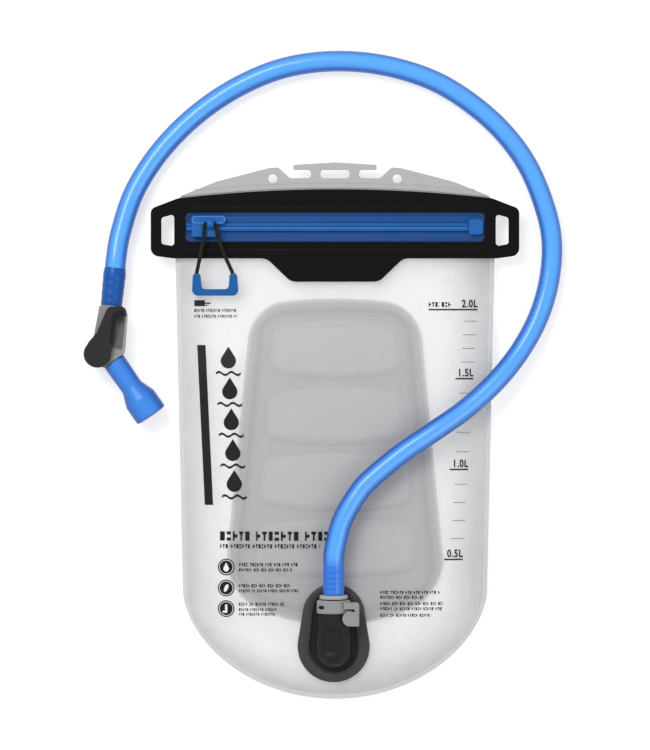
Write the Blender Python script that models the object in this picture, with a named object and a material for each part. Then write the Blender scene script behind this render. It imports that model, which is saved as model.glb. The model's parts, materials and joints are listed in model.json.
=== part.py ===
"""Two-litre hydration bladder, lying on its back, with its drinking hose laid round it.

Metres, +Z up. +X runs across the bag, +Y runs from the port to the hanger, and the bag's
back film rests on z = 0. The origin is under the middle of the bag.
"""
import math

import bmesh
import bpy
from mathutils import Matrix, Vector

MM = 0.001

# ---- clearances -----------------------------------------------------------------------
GAP = 0.3 * MM               # air between two pieces that touch
RUN_GAP = 0.3 * MM           # sliding clearance, each side
SEAL_GAP = 0.3 * MM          # air round an unsqueezed seal

# ---- bag outline ----------------------------------------------------------------------
BAG_HALF_WIDTH_TOP = 95.8 * MM
SIDE_TAPER = 4.3 * MM
BAG_HALF_WIDTH_LOW = BAG_HALF_WIDTH_TOP - SIDE_TAPER
SIDE_TOP_Y = 96.5 * MM
SIDE_LOW_Y = -95.5 * MM
BOTTOM_DEPTH = 65.7 * MM     # from the lower corners down to the lowest point
BOTTOM_POWER = 1.75          # how square the rounded bottom is
BAG_TOP_Y = 147.0 * MM
TOP_ARCH = 5.4 * MM          # drop of the top edge from the middle to the sides
ZIP_DROP = 24.7 * MM         # from the top edge down to the zip's line
ZIP_Y = BAG_TOP_Y - ZIP_DROP
FILM = 0.6 * MM
WELD = 3.0 * MM              # flat welded margin round the bag
SEAM_Z = 6.3 * MM            # underside of the welded margin
BACK_RISE = 35.0 * MM        # distance over which the back film rises to the seam

# ---- front film -----------------------------------------------------------------------
DOME_RISE = 8.5 * MM
BAND_RISE = 1.2 * MM
DOME_RUN = 80.0 * MM         # distance over which the film reaches its full height
PORT_RISE = 4.2 * MM
PORT_EDGE_RUN = 8.0 * MM
PORT_BLEND = 45.0 * MM
FADE_TOP_Y = ZIP_Y - 34.3 * MM      # the film starts to rise below the band
FADE_LOW_Y = FADE_TOP_Y - 58.0 * MM

# ---- form panel -----------------------------------------------------------------------
PANEL_Z = 2.2 * MM
PANEL = 1.2 * MM
PANEL_STEP = 1.6 * MM        # inner field above the rim
PANEL_RIM = 10.0 * MM
PAD_HEIGHT = 3.0 * MM
PAD_TAPER = 3.0 * MM
PANEL_MARGIN = 25.2 * MM     # from the bag's side to the panel's lower corner
PANEL_TAPER = 16.0 * MM
PANEL_LOW_HALF = BAG_HALF_WIDTH_LOW - PANEL_MARGIN
PANEL_TOP_HALF = PANEL_LOW_HALF - PANEL_TAPER
PANEL_TOP_Y = ZIP_Y - 42.6 * MM
PANEL_BOTTOM_Y = SIDE_LOW_Y - 21.5 * MM
PAD_LENGTH = 32.8 * MM
PAD_PITCH = 39.8 * MM
PAD_FIRST_TOP_Y = PANEL_TOP_Y - 13.8 * MM
PAD_FIRST_HALF = PANEL_TOP_HALF - 13.3 * MM
PAD_HALF_STEP = 4.0 * MM     # each pad is this much wider than the one above it
PAD_COUNT = 4

# ---- band and hanger ------------------------------------------------------------------
HANGER_Z = SEAM_Z + 2.0 * FILM + 3.0 * GAP    # clear of the welded margin
HANGER = 1.8 * MM
BAND_Z = HANGER_Z + HANGER + GAP
BAND = 1.2 * MM
BAND_SHOULDER_X = BAG_HALF_WIDTH_TOP - 1.6 * MM
BAND_TAB = 16.4 * MM         # length of the strap tabs past the bag's sides
BAND_HALF = BAND_SHOULDER_X + BAND_TAB
BAND_TOP_Y = BAG_TOP_Y - 2.0 * MM
BAND_LOW_Y = ZIP_Y - 18.8 * MM
BAND_TAB_TOP_Y = ZIP_Y + 11.0 * MM
BAND_TAB_LOW_Y = ZIP_Y - 17.0 * MM
BAND_TAB_FOOT_X = BAND_SHOULDER_X + 2.8 * MM
DROP_TAB_Y = BAND_LOW_Y - 14.0 * MM
DROP_TAB_HALF = 26.5 * MM
DROP_TAB_SPLAY = 14.5 * MM
STRAP_SLOT_X = BAND_SHOULDER_X + 2.3 * MM
STRAP_SLOT_WIDTH = 7.7 * MM
STRAP_SLOT_LOW_Y = ZIP_Y - 11.5 * MM
STRAP_SLOT_HEIGHT = 19.3 * MM
HANGER_LOW_Y = BAG_TOP_Y - 10.5 * MM
HANGER_HALF = BAG_HALF_WIDTH_TOP - WELD - 0.1 * MM
HANGER_TOP_Y = BAG_TOP_Y + 14.2 * MM
HANGER_SHOULDER_Y = HANGER_TOP_Y - 3.4 * MM
HANGER_STEP = 0.4 * MM       # extra thickness above the weld line
HANGER_WELD_GAP = 0.8 * MM   # from the band's top edge up to that thicker part
HANGER_SLOPE_X = HANGER_HALF - 21.3 * MM
HANGER_SLOPE_Y = HANGER_TOP_Y - 11.6 * MM
HANGER_END_Y = BAG_TOP_Y - 6.0 * MM
HOOK_SLOT_OUTER_X = 27.1 * MM
HOOK_HUMP_X = 34.0 * MM
HOOK_CREST_X = 39.5 * MM
TEE_DROP = 1.5 * MM
HANG_SLOT_LOW_Y = HANGER_TOP_Y - 9.5 * MM
HANG_SLOT_HEIGHT = 5.1 * MM
HANG_SLOT_HALF = 8.7 * MM
HOOK_SLOT_INNER_X = 14.5 * MM
TEE_HALF = 25.0 * MM
HANG_HOLE_X = 37.4 * MM
HANG_HOLE_Y = HANGER_TOP_Y - 9.8 * MM
HANG_HOLE_RADIUS = 2.7 * MM

# ---- zip ------------------------------------------------------------------------------
ZIP_END = 5.8 * MM           # from the bag's side to the end of the zip's window
ZIP_WINDOW_HALF = BAG_HALF_WIDTH_TOP - ZIP_END
ZIP_WINDOW_HEIGHT = 17.8 * MM
ZIP_MOUTH_HALF = ZIP_WINDOW_HALF - 12.0 * MM
ZIP_MOUTH_WIDTH = 5.4 * MM
TAPE = 0.9 * MM
TAPE_TUCK = 2.0 * MM         # tape hidden under the band at each end
TAPE_HALF = ZIP_WINDOW_HALF + TAPE_TUCK
TAPE_WIDTH = ZIP_WINDOW_HEIGHT / 2.0 + 2.8 * MM
RAIL_WIDTH = 2.6 * MM
RAIL_HEIGHT = 2.4 * MM
RAIL_SPLIT = 0.3 * MM        # air between the two closed rails
RAIL_START_X = -ZIP_WINDOW_HALF + 1.0 * MM
DOCK_X = ZIP_WINDOW_HALF - 10.0 * MM
DOCK_LENGTH = 8.7 * MM
DOCK_WIDTH = 9.0 * MM
DOCK_HEIGHT = 3.2 * MM
SLIDER_X = -ZIP_WINDOW_HALF + 4.2 * MM    # parked end of the slider
SLIDER_LENGTH = 15.6 * MM
SLIDER_CHEEK = 2.85 * MM
SLIDER_FRONT = RAIL_SPLIT / 2.0 + RAIL_WIDTH + RUN_GAP + SLIDER_CHEEK
SLIDER_WIDTH = 2.0 * SLIDER_FRONT + 0.7 * MM
SLIDER_PLATE_LENGTH = 20.2 * MM
SLIDER_PLATE_WIDTH = 4.5 * MM
SLIDER_ROOF = 2.0 * MM
BAIL_WIDTH = 4.0 * MM
BAIL_LENGTH = 5.0 * MM
BAIL_HEIGHT = 4.6 * MM
BAIL_HOLE_RADIUS = 1.75 * MM
BAIL_X = SLIDER_X + 11.2 * MM
BAIL_Y = ZIP_Y + 1.7 * MM
BAIL_HOLE_RISE = 1.8 * MM    # hole's middle above the slider's roof

# ---- pull -----------------------------------------------------------------------------
PULL_CORD_RADIUS = 1.1 * MM
GRIP = 5.0 * MM
GRIP_Z = BAND_Z - 0.8 * MM
GRIP_TOP_Y = ZIP_Y - 28.8 * MM
GRIP_LOW_Y = GRIP_TOP_Y - 12.4 * MM
GRIP_LEFT_X = BAIL_X - 11.4 * MM
GRIP_RIGHT_X = BAIL_X + 17.0 * MM
GRIP_BAR = 3.8 * MM
GRIP_ARM = 4.4 * MM
GRIP_LEAN = 0.8 * MM         # how far each arm leans in towards its end
GRIP_SLOPE = 0.30            # rise of the arms, from the film up over the band

# ---- port -----------------------------------------------------------------------------
LINK_X = -0.8 * MM
FLANGE = 3.0 * MM
FLANGE_TOP_RADIUS = 18.6 * MM
FLANGE_TOP_Y = -110.4 * MM
FLANGE_LOW_RADIUS = 21.6 * MM
FLANGE_LOW_Y = -129.0 * MM
POCKET_DEPTH = 1.7 * MM
POCKET_TOP_RADIUS = 12.2 * MM
POCKET_TOP_Y = -107.5 * MM
POCKET_LOW_RADIUS = 14.7 * MM
POCKET_LOW_Y = -129.9 * MM
SPIGOT_Y = -127.0 * MM
SPIGOT_RADIUS = 6.4 * MM
SPIGOT_WALL = 2.4 * MM
SPIGOT_BORE = SPIGOT_RADIUS - SPIGOT_WALL
SPIGOT_END_Z = 7.0 * MM
GASKET = 1.0 * MM
GASKET_RADIUS = SPIGOT_RADIUS + 5.1 * MM
BACKING = 2.2 * MM
BACKING_RADIUS = GASKET_RADIUS + 3.5 * MM

# ---- elbow and quick link, all on one axis along Y ----------------------------------------
SOCKET_RADIUS = 4.9 * MM
COLLAR_HALF_HEIGHT = SOCKET_RADIUS + 1.5 * MM
PORT_SEAT_Z = SEAM_Z + FILM + GAP + PORT_RISE + FILM    # top of the film under the flange
LINK_AXIS_Z = PORT_SEAT_Z + GAP + FLANGE + GAP + COLLAR_HALF_HEIGHT
ELBOW_HALF_WIDTH = 9.4 * MM
ELBOW_HALF_HEIGHT = SOCKET_RADIUS + 1.3 * MM
ELBOW_FACE_Y = -109.0 * MM
ELBOW_LENGTH = 31.3 * MM
ELBOW_NOSE = 9.4 * MM
SOCKET_DEPTH = 9.5 * MM
SEAT_RADIUS = SOCKET_RADIUS - 0.8 * MM
SEAT_LENGTH = 1.5 * MM
CHAMBER_RADIUS = SOCKET_RADIUS + 0.1 * MM
CHAMBER_LENGTH = 13.0 * MM
POPPET = 1.4 * MM
POPPET_TRAVEL = 2.5 * MM
COLLAR_HALF_WIDTH = 10.1 * MM
COLLAR_LENGTH = 8.1 * MM
RING_HALF_WIDTH = 8.5 * MM
RING_HALF_HEIGHT = COLLAR_HALF_HEIGHT
RING_LENGTH = 2.7 * MM
BARB_LENGTH = 14.5 * MM
BARB_RADIUS = 4.0 * MM
BARB_RIDGE = 0.3 * MM
BARB_BORE = BARB_RADIUS - 1.1 * MM
O_RING = 0.7 * MM            # cord thickness of both O-rings
BUTTON = 2.2 * MM
BUTTON_SINK = 0.4 * MM       # below the top of the collar
BUTTON_LOBE_RADIUS = 4.3 * MM
BUTTON_WALL = 1.9 * MM
BUTTON_OUTER_X = 14.3 * MM
BUTTON_DROP = 5.5 * MM       # how far its outer wall hangs down
BUTTON_INNER_X = 5.2 * MM
BUTTON_LOBE_X = 8.6 * MM
BUTTON_LOBE_Y = -111.4 * MM
BUTTON_TOP_Y = -101.5 * MM
BUTTON_FOOT_Y = -115.5 * MM
BUTTON_ARM = 4.0 * MM
SPRING_WIRE = 0.25 * MM
BUTTON_SPRING_RADIUS = 1.4 * MM
POPPET_SPRING_RADIUS = CHAMBER_RADIUS - 2.4 * MM

# ---- hose -----------------------------------------------------------------------------
HOSE_RADIUS = 6.25 * MM
HOSE_BORE = BARB_RADIUS + BARB_RIDGE + GAP   # stretched over a barb
CUFF_RADIUS = HOSE_RADIUS + 0.35 * MM
CUFF_LENGTH = 21.0 * MM
LINK_SLEEVE_LENGTH = 15.5 * MM

# ---- shut-off valve and mouthpiece ------------------------------------------------------
FLARE_RADIUS = 10.0 * MM
VALVE_Z = FLARE_RADIUS + 0.1 * MM
VALVE_INLET = Vector((-134.3 * MM, 75.2 * MM, VALVE_Z))
VALVE_INLET_DIRECTION = Vector((0.099, 0.995, 0.0)).normalized()
BOSS = Vector((-142.0 * MM, 46.0 * MM, VALVE_Z))
VALVE_HALF_HEIGHT = 6.5 * MM
SPOOL_RADIUS = 5.0 * MM
HUB_RADIUS = SPOOL_RADIUS + 2.4 * MM
BOSS_RADIUS = HUB_RADIUS + 0.7 * MM
SPOOL_FLOOR = 2.0 * MM
SPOOL_PASSAGE = 2.6 * MM
LEVER = 3.6 * MM
OUTLET = Vector((-132.8 * MM, 41.7 * MM, VALVE_Z))
OUTLET_DIRECTION = Vector((0.57, -0.82, 0.0)).normalized()
OUTLET_RADIUS = 4.6 * MM
OUTLET_LENGTH = 14.5 * MM
NECK_RADIUS = OUTLET_RADIUS + GAP + 2.0 * MM
NECK_LENGTH = 19.0 * MM
FLARE_START = 25.5 * MM
MOUTH_LENGTH = 39.7 * MM
MOUTH_WALL = 1.8 * MM

# Outlines of the valve body's flanks and the lever's arm, in millimetres.
VALVE_INLET_CORNER = [(-141.0, 75.2), (-144.4, 56.3)]
VALVE_FLANK = [(-138.6, 37.7), (-127.1, 45.6), (-126.4, 48.5), (-124.9, 70.0), (-127.7, 74.2)]
LEVER_ARM = [(-133.2, 50.0, 0.0), (-130.2, 65.0, 4.0), (-124.6, 68.6, 1.0), (-124.6, 74.8, 3.5),
             (-135.6, 74.2, 3.5), (-142.4, 58.5, 4.0), (-147.0, 53.4, 0.0)]

# Centre line of the hose from the link to the valve, in millimetres.
HOSE_ROUTE = [
    (-0.8, -81.4, 22.0), (-0.8, -74.0, 22.2), (0.8, -65.5, 23.0), (3.6, -55.0, 23.8),
    (7.9, -46.0, 24.0), (13.5, -37.2, 24.0), (20.5, -29.0, 24.0), (39.0, -13.6, 23.4),
    (58.9, -0.2, 21.6), (78.6, 13.6, 17.8), (96.4, 29.7, 14.4), (111.5, 48.4, 9.8),
    (122.9, 69.5, 6.9), (129.3, 92.6, 6.4), (130.3, 116.6, 6.4), (124.5, 140.0, 6.4),
    (114.6, 161.9, 6.4), (100.1, 181.0, 6.4), (82.1, 196.9, 6.4), (61.7, 209.6, 6.4),
    (39.1, 217.7, 6.4), (15.4, 221.9, 6.4), (-9.0, 222.0, 6.4), (-32.7, 217.8, 6.4),
    (-55.0, 208.8, 6.4), (-75.5, 196.3, 6.4), (-93.8, 180.8, 6.4), (-109.5, 162.5, 6.5),
    (-121.6, 141.8, 7.0), (-128.9, 118.9, 8.4), (-131.4, 104.0, 10.0), (-132.1, 96.9, 10.1),
]

# Centre line of the pull cord, from one arm of the grip through the bail to the other.
PULL_ROUTE = [
    (-82.9, 94.2, 16.1), (-81.0, 103.0, 16.3), (-79.0, 113.0, 16.8), (-78.3, 118.5, 16.9),
    (-78.2, 122.4, 16.8), (-77.3, 123.9, 16.7), (-75.2, 124.0, 16.7), (-74.0, 124.0, 16.7),
    (-71.9, 123.9, 16.7), (-71.0, 122.4, 16.8), (-70.6, 118.5, 16.9), (-69.1, 113.0, 16.8),
    (-65.1, 103.0, 16.3), (-61.1, 94.2, 16.1),
]


# ---- materials --------------------------------------------------------------------------
def material(name, colour, roughness, alpha=1.0):
    """Plain plastic-like finish."""
    finish = bpy.data.materials.new(name)
    finish.use_nodes = True
    shader = finish.node_tree.nodes["Principled BSDF"]
    shader.inputs["Base Color"].default_value = (*colour, 1.0)
    shader.inputs["Roughness"].default_value = roughness
    shader.inputs["Metallic"].default_value = 0.0
    shader.inputs["Alpha"].default_value = alpha
    return finish


def make_materials():
    return {
        "film": material("film", (0.80, 0.81, 0.82), 0.30, 0.45),
        "panel": material("panel", (0.50, 0.50, 0.50), 0.45),
        "grey": material("grey", (0.47, 0.47, 0.47), 0.40),
        "link": material("link", (0.38, 0.38, 0.37), 0.40),
        "band": material("band", (0.012, 0.012, 0.012), 0.75),
        "zip": material("zip", (0.015, 0.09, 0.29), 0.45),
        "grip": material("grip", (0.02, 0.13, 0.42), 0.45),
        "cord": material("cord", (0.015, 0.015, 0.013), 0.80),
        "port": material("port", (0.06, 0.06, 0.06), 0.50),
        "elbow": material("elbow", (0.025, 0.025, 0.025), 0.40),
        "hose": material("hose", (0.03, 0.22, 0.75), 0.25),
        "valve": material("valve", (0.25, 0.25, 0.24), 0.45),
        "lever": material("lever", (0.035, 0.035, 0.035), 0.50),
        "mouth": material("mouth", (0.02, 0.18, 0.75), 0.35),
        "seal": material("seal", (0.02, 0.02, 0.02), 0.70),
        "steel": material("steel", (0.60, 0.60, 0.60), 0.30),
    }


# ---- outlines ---------------------------------------------------------------------------
def rounded(corners):
    """Polygon whose corners (x, y, radius) are rounded with arcs."""
    outline = []
    count = len(corners)
    for index, (x, y, radius) in enumerate(corners):
        corner = Vector((x, y))
        before = (Vector(corners[index - 1][:2]) - corner).normalized()
        after = (Vector(corners[(index + 1) % count][:2]) - corner).normalized()
        opening = before.angle(after)
        if radius <= 0.0 or opening > math.radians(178.0):
            outline.append((x, y))
            continue
        reach = radius / math.tan(opening / 2.0)
        centre = corner + (before + after).normalized() * (radius / math.sin(opening / 2.0))
        first = corner + before * reach - centre
        turn = first.angle_signed(corner + after * reach - centre)
        steps = max(2, round(abs(turn) / math.radians(22.5)))
        for step in range(steps + 1):
            spoke = first.copy()
            spoke.rotate(Matrix.Rotation(-turn * step / steps, 2))
            outline.append(tuple(centre + spoke))
    return outline


def arc(centre_x, centre_y, radius, start, end, steps):
    """Points on an arc between two angles in degrees."""
    points = []
    for step in range(steps + 1):
        angle = math.radians(start + (end - start) * step / steps)
        points.append((centre_x + radius * math.cos(angle), centre_y + radius * math.sin(angle)))
    return points


def egg(top_radius, top_y, low_radius, low_y, steps=14):
    """Outline round two circles on the link's centre line, the lower one larger."""
    lean = math.degrees(math.asin((low_radius - top_radius) / (top_y - low_y)))
    top = arc(LINK_X, top_y, top_radius, lean, 180.0 - lean, steps)
    low = arc(LINK_X, low_y, low_radius, 180.0 - lean, 360.0 + lean, steps)
    return top + low


def mirrored(half):
    """Whole outline from its right half of (x, y, radius) corners, listed top to bottom."""
    left = [(-x, y, radius) for x, y, radius in reversed(half) if x > 0.0]
    return half + left


def box_outline(x_low, x_high, y_low, y_high, radius=0.0):
    corners = [(x_low, y_low), (x_high, y_low), (x_high, y_high), (x_low, y_high)]
    return rounded([(x, y, radius) for x, y in corners])


# ---- objects ----------------------------------------------------------------------------
def add_object(name, shape, finish, origin=(0.0, 0.0, 0.0)):
    """Turn a bmesh in world coordinates into an object whose origin is at a given point."""
    bmesh.ops.recalc_face_normals(shape, faces=shape.faces)
    bmesh.ops.translate(shape, verts=shape.verts, vec=-Vector(origin))
    mesh = bpy.data.meshes.new(name)
    shape.to_mesh(mesh)
    shape.free()
    mesh.shade_smooth()
    mesh.set_sharp_from_angle(angle=math.radians(35.0))
    thing = bpy.data.objects.new(name, mesh)
    thing.location = origin
    bpy.context.collection.objects.link(thing)
    if finish is not None:
        mesh.materials.append(finish)
    return thing


def as_tool(thing):
    """Mark an object as a cutter."""
    thing.hide_render = True
    thing.display_type = "WIRE"
    return thing


def combine(target, tools, operation):
    """Cut tools from a target, or join them to it."""
    for number, tool in enumerate(tools):
        step = target.modifiers.new(f"{operation}_{number}", "BOOLEAN")
        step.operation = operation
        step.object = as_tool(tool)
        step.solver = "EXACT"


def prism(outline, z_low, z_high, holes=()):
    """Upright solid over an outline, with holes through it."""
    shape = bmesh.new()
    for loop in [outline, *holes]:
        corners = [shape.verts.new((x, y, z_low)) for x, y in loop]
        for index, corner in enumerate(corners):
            shape.edges.new((corners[index - 1], corner))
    bmesh.ops.triangle_fill(shape, use_beauty=True, edges=shape.edges[:])
    raised = bmesh.ops.extrude_face_region(shape, geom=shape.faces[:])["geom"]
    moved = [part for part in raised if isinstance(part, bmesh.types.BMVert)]
    bmesh.ops.translate(shape, verts=moved, vec=(0.0, 0.0, z_high - z_low))
    return shape


def tapered_prism(outline, z_low, z_high, shrink):
    """Upright solid whose top is smaller than its bottom by an even margin."""
    centre_x = sum(x for x, y in outline) / len(outline)
    centre_y = sum(y for x, y in outline) / len(outline)
    half_x = max(abs(x - centre_x) for x, y in outline)
    half_y = max(abs(y - centre_y) for x, y in outline)
    scale_x = 1.0 - shrink / half_x
    scale_y = 1.0 - shrink / half_y
    upper = [(centre_x + (x - centre_x) * scale_x, centre_y + (y - centre_y) * scale_y)
             for x, y in outline]
    return loft([[(x, y, z_low) for x, y in outline], [(x, y, z_high) for x, y in upper]])


def loft(rings):
    """Closed solid through rings of equally many points, capped at both ends."""
    shape = bmesh.new()
    loops = [[shape.verts.new(point) for point in ring] for ring in rings]
    for lower, upper in zip(loops, loops[1:]):
        for index in range(len(lower)):
            shape.faces.new((lower[index - 1], lower[index], upper[index], upper[index - 1]))
    shape.faces.new(loops[0])
    shape.faces.new(loops[-1])
    return shape


def turned(profile, base, axis, steps=24, closed=False):
    """Solid of revolution: (radius, height) points spun about an axis from a base point."""
    shape = bmesh.new()
    points = [shape.verts.new((radius, 0.0, height)) for radius, height in profile]
    edges = [shape.edges.new(pair) for pair in zip(points, points[1:])]
    if closed:
        edges.append(shape.edges.new((points[-1], points[0])))
    bmesh.ops.spin(shape, geom=points + edges, axis=(0.0, 0.0, 1.0), cent=(0.0, 0.0, 0.0),
                   angle=2.0 * math.pi, steps=steps, use_merge=True)
    bmesh.ops.remove_doubles(shape, verts=shape.verts, dist=1e-7)
    turn = Vector((0.0, 0.0, 1.0)).rotation_difference(Vector(axis)).to_matrix().to_4x4()
    bmesh.ops.transform(shape, matrix=Matrix.Translation(base) @ turn, verts=shape.verts)
    return shape


def rod(radius, base, axis, length, steps=24):
    """Plain cylinder from a base point."""
    return turned([(0.0, 0.0), (radius, 0.0), (radius, length), (0.0, length)], base, axis, steps)


def ring(inner, outer, base, axis, length, steps=24):
    """Plain tube from a base point."""
    profile = [(inner, 0.0), (outer, 0.0), (outer, length), (inner, length)]
    return turned(profile, base, axis, steps, closed=True)


def o_ring(middle_radius, base, axis):
    """Seal ring of round section."""
    section = arc(middle_radius, 0.0, O_RING / 2.0, 0.0, 300.0, 5)
    return turned(section, base, axis, 20, closed=True)


def link_oval(half_width, half_height, y, steps=24):
    """Oval section of the elbow or the link, across their common axis."""
    points = []
    for step in range(steps):
        angle = 2.0 * math.pi * step / steps
        x = LINK_X + half_width * math.cos(angle)
        z = LINK_AXIS_Z + half_height * math.sin(angle)
        points.append((x, y, z))
    return points


def smooth_route(points, spacing):
    """Evenly spaced points on a smooth curve through route points in millimetres."""
    knots = [Vector(point) * MM for point in points]
    knots = [2.0 * knots[0] - knots[1], *knots, 2.0 * knots[-1] - knots[-2]]
    fine = []
    for a, b, c, d in zip(knots, knots[1:], knots[2:], knots[3:]):
        for step in range(16):
            t = step / 16.0
            fine.append(0.5 * (2.0 * b + (c - a) * t + (2.0 * a - 5.0 * b + 4.0 * c - d) * t * t
                               + (3.0 * b - a - 3.0 * c + d) * t ** 3))
    fine.append(knots[-2])
    length = sum((end - start).length for start, end in zip(fine, fine[1:]))
    pieces = round(length / spacing)
    even = [fine[0]]
    walked = 0.0
    for start, end in zip(fine, fine[1:]):
        step_length = (end - start).length
        while len(even) < pieces and walked + step_length >= length * len(even) / pieces:
            share = (length * len(even) / pieces - walked) / step_length
            even.append(start.lerp(end, share))
        walked += step_length
    even.append(fine[-1])
    return even


def tube(name, points, radius, resolution, finish, origin=(0.0, 0.0, 0.0)):
    """Round wire, cord or hose along a list of points."""
    curve = bpy.data.curves.new(name, "CURVE")
    curve.dimensions = "3D"
    curve.bevel_depth = radius
    curve.bevel_resolution = resolution
    curve.use_fill_caps = True
    line = curve.splines.new("POLY")
    line.points.add(len(points) - 1)
    for knot, point in zip(line.points, points):
        knot.co = (*(Vector(point) - Vector(origin)), 1.0)
    curve.materials.append(finish)
    thing = bpy.data.objects.new(name, curve)
    thing.location = origin
    bpy.context.collection.objects.link(thing)
    return thing


def spring(name, base, axis, length, radius, turns, finish, origin):
    """Coil spring standing on a base point."""
    turn = Vector((0.0, 0.0, 1.0)).rotation_difference(Vector(axis)).to_matrix()
    points = []
    steps = round(turns * 12)
    for step in range(steps + 1):
        angle = 2.0 * math.pi * turns * step / steps
        rise = SPRING_WIRE + (length - 2.0 * SPRING_WIRE) * step / steps
        local = Vector((radius * math.cos(angle), radius * math.sin(angle), rise))
        points.append(Vector(base) + turn @ local)
    return tube(name, points, SPRING_WIRE, 1, finish, origin)


# ---- the bag's surfaces -------------------------------------------------------------------
def smooth_step(value):
    value = min(1.0, max(0.0, value))
    return value * value * (3.0 - 2.0 * value)


def side_half_width(y):
    share = (y - SIDE_LOW_Y) / (SIDE_TOP_Y - SIDE_LOW_Y)
    share = max(share, 0.0)
    return BAG_HALF_WIDTH_LOW + (BAG_HALF_WIDTH_TOP - BAG_HALF_WIDTH_LOW) * share


def bottom_edge(across):
    return SIDE_LOW_Y - BOTTOM_DEPTH * max(0.0, 1.0 - across * across) ** (1.0 / BOTTOM_POWER)


def top_edge(across):
    return BAG_TOP_Y - TOP_ARCH * across * across


def edge_distance(x, y, across):
    """Rounded-off distance from the bag's edge."""
    distances = [side_half_width(y) - abs(x), y - bottom_edge(across), top_edge(across) - y]
    nearest = min(distances)
    if nearest < 0.01 * MM:
        return 0.0
    return sum(distance ** -3.0 for distance in distances) ** (-1.0 / 3.0)


def swell(distance, run):
    share = min(1.0, max(0.0, (distance - WELD) / run))
    return 1.0 - (1.0 - share) ** 2


def port_distance(x, y):
    """Distance outside the port flange's outline."""
    share = min(1.0, max(0.0, (FLANGE_TOP_Y - y) / (FLANGE_TOP_Y - FLANGE_LOW_Y)))
    centre = Vector((LINK_X, FLANGE_TOP_Y + (FLANGE_LOW_Y - FLANGE_TOP_Y) * share))
    radius = FLANGE_TOP_RADIUS + (FLANGE_LOW_RADIUS - FLANGE_TOP_RADIUS) * share
    return max(0.0, (Vector((x, y)) - centre).length - radius)


def back_height(x, y, across):
    """Underside of the back film."""
    return SEAM_Z * (1.0 - swell(edge_distance(x, y, across), BACK_RISE))


def front_height(x, y, across):
    """Underside of the front film."""
    distance = edge_distance(x, y, across)
    fade = smooth_step((FADE_TOP_Y - y) / (FADE_TOP_Y - FADE_LOW_Y))
    dome = (BAND_RISE + (DOME_RISE - BAND_RISE) * fade) * swell(distance, DOME_RUN)
    seat = PORT_RISE * swell(distance, PORT_EDGE_RUN)
    near_port = 1.0 - smooth_step(port_distance(x, y) / PORT_BLEND)
    return SEAM_Z + FILM + GAP + dome + (seat - dome) * near_port


def film_sheet(height, columns, rows):
    """Thin sheet over the bag's outline at a given height."""
    shape = bmesh.new()
    bmesh.ops.create_grid(shape, x_segments=columns, y_segments=rows, size=1.0)
    for corner in shape.verts:
        across = math.sin(corner.co.x * math.pi / 2.0)
        along = 0.5 + 0.5 * math.sin(corner.co.y * math.pi / 2.0)
        low = bottom_edge(across)
        y = low + (top_edge(across) - low) * along
        x = across * side_half_width(y)
        corner.co = (x, y, height(x, y, across))
    raised = bmesh.ops.extrude_face_region(shape, geom=shape.faces[:])["geom"]
    moved = [part for part in raised if isinstance(part, bmesh.types.BMVert)]
    bmesh.ops.translate(shape, verts=moved, vec=(0.0, 0.0, FILM))
    return shape


# ---- bag --------------------------------------------------------------------------------
def make_films(finishes):
    add_object("back_film", film_sheet(back_height, 16, 18), finishes["film"])
    front = add_object("front_film", film_sheet(front_height, 22, 28), finishes["film"])
    mouth = box_outline(-ZIP_MOUTH_HALF, ZIP_MOUTH_HALF, ZIP_Y - ZIP_MOUTH_WIDTH / 2.0,
                        ZIP_Y + ZIP_MOUTH_WIDTH / 2.0)
    mouth_cutter = add_object("mouth_cutter", prism(mouth, 0.0, BAND_Z), None)
    hole = rod(SPIGOT_RADIUS + GAP, (LINK_X, SPIGOT_Y, 0.0), (0, 0, 1), LINK_AXIS_Z)
    hole_cutter = add_object("film_hole_cutter", hole, None)
    combine(front, [mouth_cutter, hole_cutter], "DIFFERENCE")


def make_form_panel(finishes):
    """Thermoformed panel inside the bag, which keeps it flat against the back."""
    half = [(PANEL_TOP_HALF, PANEL_TOP_Y, 21 * MM), (PANEL_LOW_HALF, SIDE_LOW_Y + 7.5 * MM, 18 * MM),
            (PANEL_LOW_HALF - 28.3 * MM, PANEL_BOTTOM_Y + 5 * MM, 30 * MM), (0.0, PANEL_BOTTOM_Y, 0.0)]
    rim = rounded(mirrored(half))
    panel = add_object("form_panel", prism(rim, PANEL_Z, PANEL_Z + PANEL), finishes["panel"])
    inner = [(x - PANEL_RIM if x > 0.0 else x, y + (PANEL_RIM if y < 0.0 else -PANEL_RIM),
              max(radius - PANEL_RIM / 2.0, 0.0)) for x, y, radius in half]
    field_low = PANEL_Z + PANEL / 2.0
    field_top = PANEL_Z + PANEL + PANEL_STEP
    tools = [add_object("field_tool", prism(rounded(mirrored(inner)), field_low, field_top), None)]
    for number in range(PAD_COUNT):
        top = PAD_FIRST_TOP_Y - PAD_PITCH * number
        half_width = PAD_FIRST_HALF + PAD_HALF_STEP * number
        outline = box_outline(-half_width, half_width, top - PAD_LENGTH, top, 7 * MM)
        pad = tapered_prism(outline, field_low, field_top + PAD_HEIGHT, PAD_TAPER)
        tools.append(add_object(f"pad_tool_{number}", pad, None))
    combine(panel, tools, "UNION")


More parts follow.
